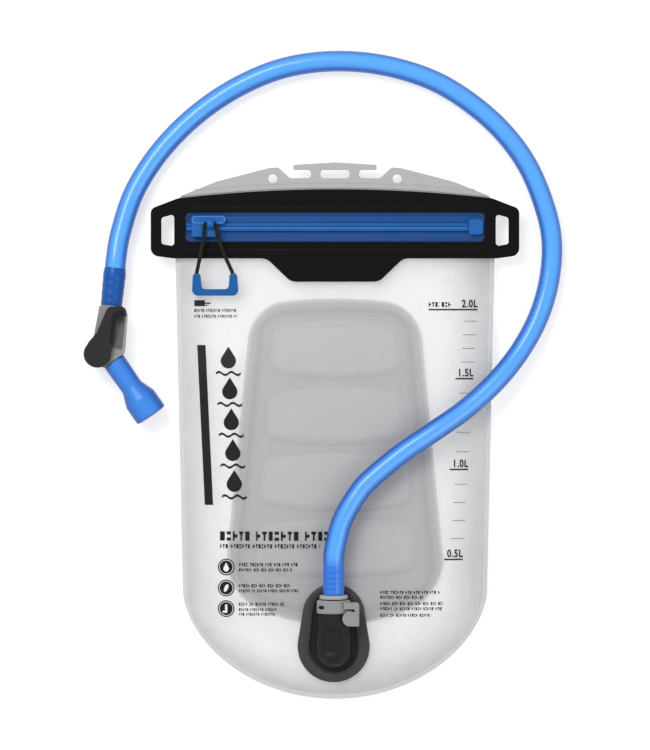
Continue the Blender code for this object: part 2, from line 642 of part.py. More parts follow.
def make_hanger(finishes):
    """Stiff hanger strip welded to the top edge, with hook slots under a T-shaped bar."""
    slot_top = HANG_SLOT_LOW_Y + HANG_SLOT_HEIGHT
    crest = [
        (0.0, HANGER_TOP_Y, 0.0), (TEE_HALF, HANGER_TOP_Y - TEE_DROP, 0.8 * MM),
        (TEE_HALF, slot_top, 0.8 * MM), (HOOK_SLOT_INNER_X, slot_top, 2 * MM),
        (HOOK_SLOT_INNER_X, HANG_SLOT_LOW_Y, 2 * MM), (HOOK_SLOT_OUTER_X, HANG_SLOT_LOW_Y, 2 * MM),
        (HOOK_HUMP_X, HANGER_SHOULDER_Y + 0.4 * MM, 3 * MM),
        (HOOK_CREST_X, HANGER_SHOULDER_Y, 10 * MM), (HANGER_SLOPE_X, HANGER_SLOPE_Y, 30 * MM),
        (HANGER_HALF, HANGER_END_Y, 0.0),
    ]
    skirt = [(HANGER_HALF, HANGER_LOW_Y, 0.0)]
    weld = []
    for share in (1.0, 0.75, 0.5, 0.25, 0.0):
        x = HANGER_HALF * share
        weld.append((x, band_top_y(x) + HANGER_WELD_GAP, 0.0))
    slot = box_outline(-HANG_SLOT_HALF, HANG_SLOT_HALF, HANG_SLOT_LOW_Y, slot_top, 2 * MM)
    holes = [slot]
    for side in (-1.0, 1.0):
        holes.append(arc(side * HANG_HOLE_X, HANG_HOLE_Y, HANG_HOLE_RADIUS, 0.0, 337.5, 15))
    top = HANGER_Z + HANGER
    plate = prism(rounded(mirrored(crest + skirt)), HANGER_Z, top, holes)
    plate = add_object("hanger_plate", plate, finishes["grey"])
    raised = prism(rounded(mirrored(crest + weld)), HANGER_Z + HANGER / 2.0, top + HANGER_STEP, holes)
    combine(plate, [add_object("hanger_step_tool", raised, None)], "UNION")


def band_top_y(x):
    """Arched top edge of the band."""
    return BAND_TOP_Y - TOP_ARCH * (x / BAND_SHOULDER_X) ** 2


def make_band(finishes):
    """Coated fabric band round the zip, with a strap slot in each end tab."""
    half = [(0.0, BAND_TOP_Y, 0.0)]
    for share in (0.35, 0.7):
        half.append((BAND_SHOULDER_X * share, band_top_y(BAND_SHOULDER_X * share), 0.0))
    half += [
        (BAND_SHOULDER_X, BAND_TOP_Y - TOP_ARCH, 10 * MM), (BAND_HALF, BAND_TAB_TOP_Y, 4 * MM),
        (BAND_HALF, BAND_TAB_LOW_Y, 5 * MM), (BAND_TAB_FOOT_X, BAND_LOW_Y, 10 * MM),
        (DROP_TAB_HALF + DROP_TAB_SPLAY, BAND_LOW_Y, 8 * MM), (DROP_TAB_HALF, DROP_TAB_Y, 8 * MM),
    ]
    window = box_outline(-ZIP_WINDOW_HALF, ZIP_WINDOW_HALF, ZIP_Y - ZIP_WINDOW_HEIGHT / 2.0,
                         ZIP_Y + ZIP_WINDOW_HEIGHT / 2.0, 3 * MM)
    holes = [window]
    slot_top = STRAP_SLOT_LOW_Y + STRAP_SLOT_HEIGHT
    for side in (-1.0, 1.0):
        outer = side * (STRAP_SLOT_X + STRAP_SLOT_WIDTH)
        inner = side * STRAP_SLOT_X
        holes.append(rounded([
            (inner, STRAP_SLOT_LOW_Y, 1.8 * MM), (outer, STRAP_SLOT_LOW_Y + 1.3 * MM, 1.8 * MM),
            (outer, slot_top - 2.1 * MM, 1.8 * MM), (inner, slot_top, 1.8 * MM)]))
    shape = prism(rounded(mirrored(half)), BAND_Z, BAND_Z + BAND, holes)
    add_object("zip_band", shape, finishes["band"])


# ---- zip --------------------------------------------------------------------------------
def tape_top():
    return BAND_Z - GAP


def rail_top():
    return tape_top() + RAIL_HEIGHT


def make_tape(name, side, finishes):
    """One half of the zip: a tape with its sealing rail along the meeting edge."""
    inner = ZIP_Y + side * RAIL_SPLIT / 2.0
    rail_outer = inner + side * RAIL_WIDTH
    outer = inner + side * TAPE_WIDTH
    bottom = tape_top() - TAPE
    edges = sorted([inner, outer])
    tape = prism(box_outline(-TAPE_HALF, TAPE_HALF, *edges), bottom, tape_top())
    tape = add_object(name, tape, finishes["zip"])
    rail_edges = sorted([inner, rail_outer])
    outline = box_outline(RAIL_START_X, DOCK_X - GAP, *rail_edges)
    rail = add_object(f"{name}_rail", prism(outline, bottom + TAPE / 2.0, rail_top()), None)
    combine(tape, [rail], "UNION")


def make_dock(finishes):
    """Closed end of the zip, where the slider seals."""
    outline = box_outline(DOCK_X, DOCK_X + DOCK_LENGTH, ZIP_Y - DOCK_WIDTH / 2.0,
                          ZIP_Y + DOCK_WIDTH / 2.0, 0.8 * MM)
    shape = prism(outline, tape_top() + GAP, tape_top() + GAP + DOCK_HEIGHT)
    add_object("zip_end_dock", shape, finishes["zip"])


def slider_roof_z():
    return rail_top() + RUN_GAP + SLIDER_ROOF


def bail_axis():
    """Where the pull swings: the middle of the bail's hole."""
    return Vector((BAIL_X, BAIL_Y, slider_roof_z() + BAIL_HOLE_RISE))


def make_slider(finishes):
    """Slider that straddles both rails, with a bail for the pull cord."""
    axis = bail_axis()
    low = ZIP_Y - SLIDER_FRONT
    high = low + SLIDER_WIDTH
    ledge = high - SLIDER_PLATE_WIDTH
    outline = rounded([
        (SLIDER_X, low, 1 * MM), (SLIDER_X + SLIDER_LENGTH, low, 1 * MM),
        (SLIDER_X + SLIDER_LENGTH, ledge, 0.6 * MM), (SLIDER_X + SLIDER_PLATE_LENGTH, ledge, 1 * MM),
        (SLIDER_X + SLIDER_PLATE_LENGTH, high, 1.6 * MM), (SLIDER_X, high, 1.6 * MM)])
    shape = prism(outline, tape_top() + RUN_GAP, slider_roof_z())
    slider = add_object("zip_slider", shape, finishes["zip"], axis)
    bail_box = box_outline(axis.x - BAIL_WIDTH / 2.0, axis.x + BAIL_WIDTH / 2.0,
                           axis.y - BAIL_LENGTH / 2.0, axis.y + BAIL_LENGTH / 2.0, 0.8 * MM)
    bail = add_object("bail_tool", prism(bail_box, slider_roof_z() - 1 * MM,
                                         slider_roof_z() + BAIL_HEIGHT), None)
    combine(slider, [bail], "UNION")
    half_channel = RAIL_SPLIT / 2.0 + RAIL_WIDTH + RUN_GAP
    channel = box_outline(SLIDER_X - 5 * MM, SLIDER_X + SLIDER_PLATE_LENGTH + 5 * MM,
                          ZIP_Y - half_channel, ZIP_Y + half_channel)
    channel = prism(channel, tape_top() - 1 * MM, rail_top() + RUN_GAP)
    channel_cutter = add_object("channel_cutter", channel, None)
    hole = rod(BAIL_HOLE_RADIUS, axis - Vector((BAIL_WIDTH, 0.0, 0.0)), (1, 0, 0), 2.0 * BAIL_WIDTH, 12)
    hole_cutter = add_object("bail_hole_cutter", hole, None)
    combine(slider, [channel_cutter, hole_cutter], "DIFFERENCE")


def make_pull(finishes):
    """Cord loop through the slider's bail, with a moulded U-shaped grip."""
    axis = bail_axis()
    tube("pull_cord", smooth_route(PULL_ROUTE, 1.6 * MM), PULL_CORD_RADIUS, 2, finishes["cord"], axis)
    arms = []
    for side, edge in ((1.0, GRIP_RIGHT_X), (-1.0, GRIP_LEFT_X)):
        outer = edge - side * GRIP_LEAN
        inner = outer - side * GRIP_ARM
        arm = [(outer, GRIP_TOP_Y, 0.8 * MM), (inner, GRIP_TOP_Y, 0.8 * MM),
               (inner - side * GRIP_LEAN, GRIP_LOW_Y + GRIP_BAR, 1.5 * MM)]
        arms += arm if side > 0.0 else arm[::-1]
    foot = [(GRIP_LEFT_X, GRIP_LOW_Y, 3 * MM), (GRIP_RIGHT_X, GRIP_LOW_Y, 3 * MM)]
    shape = prism(rounded(foot + arms), GRIP_Z, GRIP_Z + GRIP)
    for corner in shape.verts:
        corner.co.z += (corner.co.y - GRIP_LOW_Y) * GRIP_SLOPE
    add_object("pull_grip", shape, finishes["grip"], axis)


# ---- port -------------------------------------------------------------------------------
def make_port(finishes):
    """Egg-shaped flange on the film, with the gasket and backing ring that clamp it."""
    base = PORT_SEAT_Z + GAP
    outline = egg(FLANGE_TOP_RADIUS, FLANGE_TOP_Y, FLANGE_LOW_RADIUS, FLANGE_LOW_Y)
    flange = add_object("port_flange", prism(outline, base, base + FLANGE), finishes["port"])
    pocket = egg(POCKET_TOP_RADIUS, POCKET_TOP_Y, POCKET_LOW_RADIUS, POCKET_LOW_Y)
    pocket = prism(pocket, base + FLANGE - POCKET_DEPTH, base + 2.0 * FLANGE)
    pocket_cutter = add_object("pocket_cutter", pocket, None)
    hole = rod(SPIGOT_RADIUS + GAP, (LINK_X, SPIGOT_Y, 0.0), (0, 0, 1), LINK_AXIS_Z)
    hole_cutter = add_object("flange_hole_cutter", hole, None)
    combine(flange, [pocket_cutter, hole_cutter], "DIFFERENCE")
    gasket_low = PORT_SEAT_Z - FILM - GAP - GASKET
    gasket = ring(SPIGOT_RADIUS + GAP, GASKET_RADIUS, (LINK_X, SPIGOT_Y, gasket_low), (0, 0, 1), GASKET)
    add_object("port_gasket", gasket, finishes["seal"])
    backing_low = gasket_low - GAP - BACKING
    backing = ring(SPIGOT_RADIUS + GAP, BACKING_RADIUS, (LINK_X, SPIGOT_Y, backing_low), (0, 0, 1),
                   BACKING)
    add_object("port_backing_ring", backing, finishes["port"])


def chamber_start_y():
    return ELBOW_FACE_Y - SOCKET_DEPTH - SEAT_LENGTH


def poppet_face_y():
    return chamber_start_y() - GAP - POPPET_TRAVEL


def make_elbow(finishes):
    """Elbow that turns the flow from the bag's spigot to the link's socket."""
    straight_end = ELBOW_FACE_Y - ELBOW_LENGTH + ELBOW_NOSE
    rings = [link_oval(ELBOW_HALF_WIDTH, ELBOW_HALF_HEIGHT, ELBOW_FACE_Y)]
    for degrees in (0.0, 22.0, 42.0, 60.0, 75.0, 86.0):
        shrink = math.cos(math.radians(degrees))
        y = straight_end - ELBOW_NOSE * math.sin(math.radians(degrees))
        rings.append(link_oval(ELBOW_HALF_WIDTH * shrink, ELBOW_HALF_HEIGHT * shrink, y))
    elbow = add_object("port_elbow", loft(rings), finishes["elbow"])
    down = (0, 0, -1)
    spigot_top = Vector((LINK_X, SPIGOT_Y, LINK_AXIS_Z - 1 * MM))
    spigot = rod(SPIGOT_RADIUS, spigot_top, down, spigot_top.z - SPIGOT_END_Z)
    combine(elbow, [add_object("spigot_tool", spigot, None)], "UNION")
    back = (0, -1, 0)
    mouth = Vector((LINK_X, ELBOW_FACE_Y, LINK_AXIS_Z))
    bore = [(0.0, -1 * MM), (SOCKET_RADIUS, -1 * MM), (SOCKET_RADIUS, SOCKET_DEPTH),
            (SEAT_RADIUS, SOCKET_DEPTH), (SEAT_RADIUS, SOCKET_DEPTH + SEAT_LENGTH),
            (CHAMBER_RADIUS, SOCKET_DEPTH + SEAT_LENGTH),
            (CHAMBER_RADIUS, SOCKET_DEPTH + SEAT_LENGTH + CHAMBER_LENGTH),
            (0.0, SOCKET_DEPTH + SEAT_LENGTH + CHAMBER_LENGTH)]
    bore_cutter = add_object("elbow_bore_cutter", turned(bore, mouth, back), None)
    drop = rod(SPIGOT_BORE, Vector((LINK_X, SPIGOT_Y, LINK_AXIS_Z)), down, LINK_AXIS_Z)
    drop_cutter = add_object("spigot_bore_cutter", drop, None)
    combine(elbow, [bore_cutter, drop_cutter], "DIFFERENCE")


def make_poppet(finishes):
    """Spring-loaded poppet that shuts the port when the link is out."""
    face = Vector((LINK_X, poppet_face_y(), LINK_AXIS_Z))
    guide = CHAMBER_RADIUS - RUN_GAP
    profile = [(0.0, 0.0), (guide - 0.6 * MM, 0.0), (guide, 0.5 * MM), (guide, POPPET),
               (POPPET_SPRING_RADIUS - 0.6 * MM, POPPET),
               (POPPET_SPRING_RADIUS - 0.6 * MM, POPPET + 1.2 * MM), (0.0, POPPET + 1.2 * MM)]
    add_object("port_poppet", turned(profile, face, (0, -1, 0)), finishes["link"], face)
    chamber_end = chamber_start_y() - CHAMBER_LENGTH
    start = Vector((LINK_X, face.y - POPPET - GAP, LINK_AXIS_Z))
    length = start.y - chamber_end - GAP
    spring("poppet_spring", start, (0, -1, 0), length, POPPET_SPRING_RADIUS, 3.5,
           finishes["steel"], face)


# ---- quick link -------------------------------------------------------------------------
def collar_face_y():
    return ELBOW_FACE_Y + GAP


def ring_face_y():
    return collar_face_y() + COLLAR_LENGTH + GAP


def sleeve_face_y():
    return ring_face_y() + RING_LENGTH + GAP


def link_origin():
    return Vector((LINK_X, ELBOW_FACE_Y, LINK_AXIS_Z))


def oval_block(half_width, half_height, y_low, length):
    """Oval block across the link's axis with rounded rims."""
    rim = 0.7 * MM
    return loft([
        link_oval(half_width - rim, half_height - rim, y_low),
        link_oval(half_width, half_height, y_low + rim),
        link_oval(half_width, half_height, y_low + length - rim),
        link_oval(half_width - rim, half_height - rim, y_low + length)])


def make_link(finishes):
    """Collar, lock ring and barbed plug of the quick link."""
    origin = link_origin()
    plug = SOCKET_RADIUS - SEAL_GAP
    shaft_hole = plug + GAP
    collar = oval_block(COLLAR_HALF_WIDTH, COLLAR_HALF_HEIGHT, collar_face_y(), COLLAR_LENGTH)
    collar = add_object("link_collar", collar, finishes["link"], origin)
    lock_ring = oval_block(RING_HALF_WIDTH, RING_HALF_HEIGHT, ring_face_y(), RING_LENGTH)
    lock_ring = add_object("link_ring", lock_ring, finishes["link"], origin)
    for target, label in ((collar, "collar"), (lock_ring, "ring")):
        hole = rod(shaft_hole, origin, (0, 1, 0), 2.5 * COLLAR_LENGTH)
        combine(target, [add_object(f"{label}_hole_cutter", hole, None)], "DIFFERENCE")
    nose_radius = SEAT_RADIUS - RUN_GAP
    nose_end = poppet_face_y() + GAP
    shoulder = ELBOW_FACE_Y - SOCKET_DEPTH + GAP
    groove = 4.0 * MM
    groove_half = O_RING / 2.0 + SEAL_GAP
    groove_radius = plug - O_RING - SEAL_GAP
    outer = [(nose_radius, nose_end), (nose_radius, shoulder), (plug, shoulder)]
    groove_y = ELBOW_FACE_Y - groove
    outer += [(plug, groove_y - groove_half), (groove_radius, groove_y - groove_half),
              (groove_radius, groove_y + groove_half), (plug, groove_y + groove_half),
              (plug, sleeve_face_y() - GAP), (BARB_RADIUS, sleeve_face_y() - GAP)]
    outer += barb_profile(sleeve_face_y() + 2 * MM)
    outer.append((BARB_BORE, outer[-1][1]))
    outer.append((BARB_BORE, nose_end))
    profile = [(radius, y - ELBOW_FACE_Y) for radius, y in outer]
    barb = turned(profile, origin, (0, 1, 0), closed=True)
    add_object("link_barb", barb, finishes["link"], origin)
    seal_y = Vector((LINK_X, groove_y, LINK_AXIS_Z))
    seal_radius = groove_radius + SEAL_GAP + O_RING / 2.0
    add_object("link_o_ring", o_ring(seal_radius, seal_y, (0, 1, 0)), finishes["seal"], origin)


def barb_profile(start):
    """Outer (radius, height) points of a hose barb with four ridges, from a start height."""
    points = []
    pitch = (BARB_LENGTH - 2.5 * MM) / 4.0
    for number in range(4):
        height = start + pitch * number
        points += [(BARB_RADIUS, height), (BARB_RADIUS + BARB_RIDGE, height + 0.2 * MM),
                   (BARB_RADIUS, height + pitch)]
    return points


def make_button(finishes):
    """L-shaped release tab at the link's side and the spring behind it."""
    low = LINK_AXIS_Z + COLLAR_HALF_HEIGHT - BUTTON_SINK
    outer_x = BUTTON_OUTER_X
    inner_x = BUTTON_INNER_X
    top_y = BUTTON_TOP_Y
    foot_y = BUTTON_FOOT_Y
    outline = [(inner_x, top_y), (inner_x, top_y - BUTTON_ARM),
               (inner_x + 3.0 * MM, top_y - BUTTON_ARM - 1.4 * MM)]
    outline += arc(BUTTON_LOBE_X, BUTTON_LOBE_Y, BUTTON_LOBE_RADIUS, 95.0, 275.0, 8)
    outline += [(outer_x, foot_y), (outer_x, top_y - 1.5 * MM), (outer_x - 1.5 * MM, top_y)]
    origin = Vector((outer_x, top_y - 3.5 * MM, LINK_AXIS_Z + 4.0 * MM))
    button = add_object("release_button", prism(outline, low, low + BUTTON), finishes["link"], origin)
    wall = box_outline(outer_x - BUTTON_WALL, outer_x, foot_y + 1 * MM, top_y - 1.6 * MM)
    wall = prism(wall, low - BUTTON_DROP, low + BUTTON / 2.0)
    combine(button, [add_object("button_wall_tool", wall, None)], "UNION")
    rise = origin.z - LINK_AXIS_Z
    half_width = COLLAR_HALF_WIDTH * math.sqrt(1.0 - (rise / COLLAR_HALF_HEIGHT) ** 2)
    start = Vector((LINK_X + half_width + 2.0 * GAP + 0.6 * MM, origin.y, origin.z))
    length = outer_x - BUTTON_WALL - GAP - start.x
    spring("button_spring", start, (1, 0, 0), length, BUTTON_SPRING_RADIUS, 2.5, finishes["steel"],
           origin)


# ---- hose -------------------------------------------------------------------------------
def make_hose(finishes):
    """Drinking hose with its ends stretched over the two barbs."""
    origin = link_origin()
    sleeve_start = Vector((LINK_X, sleeve_face_y(), LINK_AXIS_Z))
    sleeve = ring(HOSE_BORE, HOSE_RADIUS, sleeve_start, (0, 1, 0), LINK_SLEEVE_LENGTH)
    add_object("hose_link_sleeve", sleeve, finishes["hose"], origin)
    tube("hose", smooth_route(HOSE_ROUTE, 9 * MM), HOSE_RADIUS, 4, finishes["hose"], origin)
    cuff_start = VALVE_INLET + VALVE_INLET_DIRECTION * GAP
    cuff = ring(HOSE_BORE, CUFF_RADIUS, cuff_start, VALVE_INLET_DIRECTION, CUFF_LENGTH)
    add_object("hose_valve_cuff", cuff, finishes["hose"], origin)


# ---- valve ------------------------------------------------------------------------------
def valve_top():
    return VALVE_Z + VALVE_HALF_HEIGHT


def make_valve_body(finishes):
    """Angled valve body with a hose barb, a spool bore and an outlet spigot."""
    origin = link_origin()
    outline = [(x * MM, y * MM) for x, y in VALVE_INLET_CORNER]
    outline += arc(BOSS.x, BOSS.y, HUB_RADIUS, 150.0, 285.0, 8)
    outline += [(x * MM, y * MM) for x, y in VALVE_FLANK]
    shape = prism(outline, VALVE_Z - VALVE_HALF_HEIGHT, valve_top())
    body = add_object("valve_body", shape, finishes["valve"], origin)
    barb = [(0.0, -3 * MM), (BARB_RADIUS, -3 * MM)] + barb_profile(2 * MM)
    barb.append((0.0, barb[-1][1]))
    barb = turned(barb, VALVE_INLET, VALVE_INLET_DIRECTION)
    spigot_base = OUTLET - OUTLET_DIRECTION * 3 * MM
    spigot = rod(OUTLET_RADIUS, spigot_base, OUTLET_DIRECTION, OUTLET_LENGTH + 3 * MM)
    joined = [add_object("valve_barb_tool", barb, None), add_object("outlet_tool", spigot, None)]
    combine(body, joined, "UNION")
    spool_low = VALVE_Z - VALVE_HALF_HEIGHT + SPOOL_FLOOR
    spool_bore = rod(SPOOL_RADIUS + RUN_GAP, (BOSS.x, BOSS.y, spool_low), (0, 0, 1),
                     2.0 * VALVE_HALF_HEIGHT)
    turn_in = VALVE_INLET - VALVE_INLET_DIRECTION * 5 * MM
    inlet = BOSS - turn_in
    turn_out = OUTLET + OUTLET_DIRECTION * 1 * MM
    outlet = turn_out - BOSS
    cutters = [
        spool_bore,
        rod(BARB_BORE, turn_in, VALVE_INLET_DIRECTION, BARB_LENGTH + 12 * MM, 16),
        rod(BARB_BORE, turn_in - inlet.normalized() * 1 * MM, inlet, inlet.length, 16),
        rod(BARB_BORE, BOSS, outlet, outlet.length, 16),
        rod(BARB_BORE + 0.1 * MM, turn_out - OUTLET_DIRECTION * 2 * MM, OUTLET_DIRECTION,
            OUTLET_LENGTH + 5 * MM, 16),
    ]
    tools = [add_object(f"valve_cutter_{n}", cutter, None) for n, cutter in enumerate(cutters)]
    combine(body, tools, "DIFFERENCE")


def make_spool(finishes):
    """Rotary spool with a cross passage and an O-ring in its top groove."""
    base = Vector((BOSS.x, BOSS.y, VALVE_Z - VALVE_HALF_HEIGHT + SPOOL_FLOOR + GAP))
    height = valve_top() - base.z
    groove = height - 2.2 * MM
    groove_half = O_RING / 2.0 + SEAL_GAP
    groove_radius = SPOOL_RADIUS - O_RING - SEAL_GAP
    profile = [(0.0, 0.0), (SPOOL_RADIUS, 0.0), (SPOOL_RADIUS, groove - groove_half),
               (groove_radius, groove - groove_half), (groove_radius, groove + groove_half),
               (SPOOL_RADIUS, groove + groove_half), (SPOOL_RADIUS, height), (0.0, height)]
    spool = add_object("valve_spool", turned(profile, base, (0, 0, 1)), finishes["link"], BOSS)
    passage = (VALVE_INLET - BOSS).normalized()
    hole = rod(SPOOL_PASSAGE, BOSS - passage * 2.0 * SPOOL_RADIUS, passage, 4.0 * SPOOL_RADIUS, 16)
    combine(spool, [add_object("spool_cutter", hole, None)], "DIFFERENCE")
    seal_centre = base + Vector((0.0, 0.0, groove))
    seal_radius = groove_radius + SEAL_GAP + O_RING / 2.0
    add_object("spool_o_ring", o_ring(seal_radius, seal_centre, (0, 0, 1)), finishes["seal"], BOSS)


def make_lever(finishes):
    """Shut-off lever: a round boss with an arm along the valve body."""
    outline = arc(BOSS.x, BOSS.y, BOSS_RADIUS, 140.0, 365.0, 14)
    arm = rounded([(x * MM, y * MM, radius * MM) for x, y, radius in LEVER_ARM])
    shape = prism(outline + arm, valve_top() + GAP, valve_top() + GAP + LEVER)
    add_object("shutoff_lever", shape, finishes["lever"], BOSS)


def make_mouthpiece(finishes):
    """Soft bite valve, hollow from its neck to the slit wall at its tip."""
    base = OUTLET + OUTLET_DIRECTION * GAP
    bore = OUTLET_RADIUS + GAP
    profile = [
        (bore, 0.0), (NECK_RADIUS, 0.0), (NECK_RADIUS - 0.3 * MM, NECK_LENGTH),
        (FLARE_RADIUS - 0.3 * MM, FLARE_START), (FLARE_RADIUS, FLARE_START + 2 * MM),
        (FLARE_RADIUS, MOUTH_LENGTH - 0.8 * MM), (FLARE_RADIUS - 0.8 * MM, MOUTH_LENGTH),
        (0.0, MOUTH_LENGTH), (0.0, MOUTH_LENGTH - MOUTH_WALL),
        (FLARE_RADIUS - MOUTH_WALL, MOUTH_LENGTH - MOUTH_WALL),
        (FLARE_RADIUS - MOUTH_WALL, FLARE_START + 2 * MM), (bore, NECK_LENGTH - 1 * MM)]
    shape = turned(profile, base, OUTLET_DIRECTION, closed=True)
    add_object("mouthpiece", shape, finishes["mouth"], link_origin())


def main():
    for thing in list(bpy.data.objects):
        bpy.data.objects.remove(thing, do_unlink=True)
    finishes = make_materials()
    make_films(finishes)
    make_form_panel(finishes)
    make_hanger(finishes)
    make_band(finishes)
    make_tape("zip_tape_upper", 1.0, finishes)
    make_tape("zip_tape_lower", -1.0, finishes)
    make_dock(finishes)
    make_slider(finishes)
    make_pull(finishes)
    make_port(finishes)
    make_elbow(finishes)
    make_poppet(finishes)
    make_link(finishes)
    make_button(finishes)
    make_hose(finishes)
    make_valve_body(finishes)
    make_spool(finishes)
    make_lever(finishes)
    make_mouthpiece(finishes)


main()
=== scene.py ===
"""Looks of a two-litre hydration bladder: film bag, zip band, port, hose and bite valve."""
import json
import math

import bmesh
import bpy
from mathutils import Matrix, Vector, noise


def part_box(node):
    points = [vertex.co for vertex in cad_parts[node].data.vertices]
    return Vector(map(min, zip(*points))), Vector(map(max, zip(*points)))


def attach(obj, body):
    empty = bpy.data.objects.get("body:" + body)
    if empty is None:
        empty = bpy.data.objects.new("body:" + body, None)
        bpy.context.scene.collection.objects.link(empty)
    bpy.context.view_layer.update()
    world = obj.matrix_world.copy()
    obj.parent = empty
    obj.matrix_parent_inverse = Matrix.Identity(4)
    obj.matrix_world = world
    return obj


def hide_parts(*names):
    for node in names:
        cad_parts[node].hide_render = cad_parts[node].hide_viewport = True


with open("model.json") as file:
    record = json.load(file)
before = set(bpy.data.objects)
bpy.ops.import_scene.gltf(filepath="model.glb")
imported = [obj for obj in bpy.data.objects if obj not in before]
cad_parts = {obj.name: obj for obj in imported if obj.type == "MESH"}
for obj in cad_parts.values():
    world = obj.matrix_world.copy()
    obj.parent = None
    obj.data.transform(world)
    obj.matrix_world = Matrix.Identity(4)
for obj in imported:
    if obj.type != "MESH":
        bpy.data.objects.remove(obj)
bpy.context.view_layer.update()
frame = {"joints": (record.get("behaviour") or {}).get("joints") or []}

MM = 0.001                # shapes are drawn in millimetres and scaled when they are finished
UP = Vector((0.0, 0.0, 1.0))
TURN = 2.0 * math.pi


# ---- places read from the frame, in millimetres ----
def low(node):
    return Vector(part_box(node)[0]) / MM


def high(node):
    return Vector(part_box(node)[1]) / MM


def joint_point(name):
    for joint in frame["joints"]:
        if joint["name"] == name:
            return Vector(joint["pos_m"]) / MM


# ---- shader nodes ----
def connect(socket, value):
    """Link an input to another node's output, or give it a value."""
    if isinstance(value, bpy.types.NodeSocket):
        socket.id_data.links.new(value, socket)
    else:
        socket.default_value = value


def feed(node, **inputs):
    for name, value in inputs.items():
        connect(node.inputs[name.replace("_", " ")], value)


def add_node(tree, kind, output, settings=None, **inputs):
    """New shader node with its settings and inputs; gives back the named output."""
    node = tree.nodes.new("ShaderNode" + kind)
    for name, value in (settings or {}).items():
        setattr(node, name, value)
    feed(node, **inputs)
    return node.outputs[output]


def maths(tree, operation, *terms):
    node = tree.nodes.new("ShaderNodeMath")
    node.operation = operation
    for socket, term in zip(node.inputs, terms):
        connect(socket, term)
    return node.outputs["Value"]


def attribute(tree, name):
    return add_node(tree, "Attribute", "Fac", {"attribute_name": name})


def mixed(tree, factor, first, second, blend="MIX"):
    """Mix of two colours, each a triple or another node's output."""
    first, second = [colour if isinstance(colour, bpy.types.NodeSocket) else (*colour, 1.0)
                     for colour in (first, second)]
    return add_node(tree, "Mix", "Result", {"data_type": "RGBA", "blend_type": blend},
                    Factor=factor, A=first, B=second)


# ---- camera, floor and light ----
VIEW_CENTRE = Vector((-6.0, 33.5, 12.0)) * MM
VIEW_HEIGHT = 450.0 * MM
VIEW_DISTANCE = 1.6
SENSOR = 36.0
FLOOR_SIZE = 4.0
FLOOR_Z = -0.3 * MM       # just below the object, so that no two faces coincide


def add_camera():
    """Camera straight above, so the object is seen square on."""
    data = bpy.data.cameras.new("camera")
    data.sensor_width = SENSOR
    data.lens = SENSOR * VIEW_DISTANCE / VIEW_HEIGHT
    camera = bpy.data.objects.new("camera", data)
    camera.location = VIEW_CENTRE + UP * VIEW_DISTANCE
    bpy.context.collection.objects.link(camera)
    bpy.context.scene.camera = camera


def add_floor():
    shape = bmesh.new()
    bmesh.ops.create_grid(shape, x_segments=2, y_segments=2, size=FLOOR_SIZE)
    bmesh.ops.translate(shape, verts=shape.verts, vec=(0.0, 0.0, FLOOR_Z))
    mesh = bpy.data.meshes.new("floor")
    shape.to_mesh(mesh)
    shape.free()
    floor = bpy.data.objects.new("floor", mesh)
    bpy.context.collection.objects.link(floor)
    paint = bpy.data.materials.new("floor_paint")
    paint.use_nodes = True
    feed(paint.node_tree.nodes["Principled BSDF"], Base_Color=(0.55, 0.55, 0.55, 1.0),
         Roughness=0.9, Specular_IOR_Level=0.1, Emission_Color=(1.0, 1.0, 1.0, 1.0),
         Emission_Strength=0.56)
    mesh.materials.append(paint)


def add_area(name, place, target, size, power):
    data = bpy.data.lights.new(name, "AREA")
    data.shape = "RECTANGLE"
    data.size, data.size_y = size
    data.energy = power
    light = bpy.data.objects.new(name, data)
    light.location = place
    light.rotation_euler = (Vector(target) - Vector(place)).to_track_quat("-Z", "Y").to_euler()
    bpy.context.collection.objects.link(light)


def add_lights():
    world = bpy.data.worlds.new("studio")
    world.use_nodes = True
    feed(world.node_tree.nodes["Background"], Color=(1.0, 1.0, 1.0, 1.0), Strength=0.62)
    bpy.context.scene.world = world
    bpy.context.scene.view_settings.view_transform = "Standard"
    add_area("key", (-0.55, 0.75, 1.3), (0.0, 0.05, 0.0), (0.9, 0.6), 13.0)
    add_area("fill", (0.9, -0.5, 1.1), (0.0, 0.0, 0.0), (0.8, 0.8), 4.0)


# ---- materials ----
def surface(name, colour, roughness, grain, relief, variation, **sockets):
    """Moulded or coated surface: fine grain of a size in mm, relief in mm, slight mottling."""
    paint = bpy.data.materials.new(name)
    paint.use_nodes = True
    tree = paint.node_tree
    place = add_node(tree, "TexCoord", "Object")
    mottle = add_node(tree, "TexNoise", "Fac", Scale=1.0 / (14.0 * grain * MM), Detail=4.0,
                      Vector=place)
    darker = [c * (1.0 - variation) for c in colour]
    paler = [min(1.0, c * (1.0 + variation)) for c in colour]
    fine = add_node(tree, "TexNoise", "Fac", Scale=1.0 / (grain * MM), Detail=3.0, Vector=place)
    rough = add_node(tree, "MapRange", "Result", To_Min=roughness * 0.85,
                     To_Max=min(1.0, roughness * 1.15), Value=fine)
    normal = add_node(tree, "Bump", "Normal", Strength=0.6, Distance=relief * MM, Height=fine)
    feed(tree.nodes["Principled BSDF"], Base_Color=mixed(tree, mottle, darker, paler),
         Roughness=rough, Normal=normal, **sockets)
    return paint


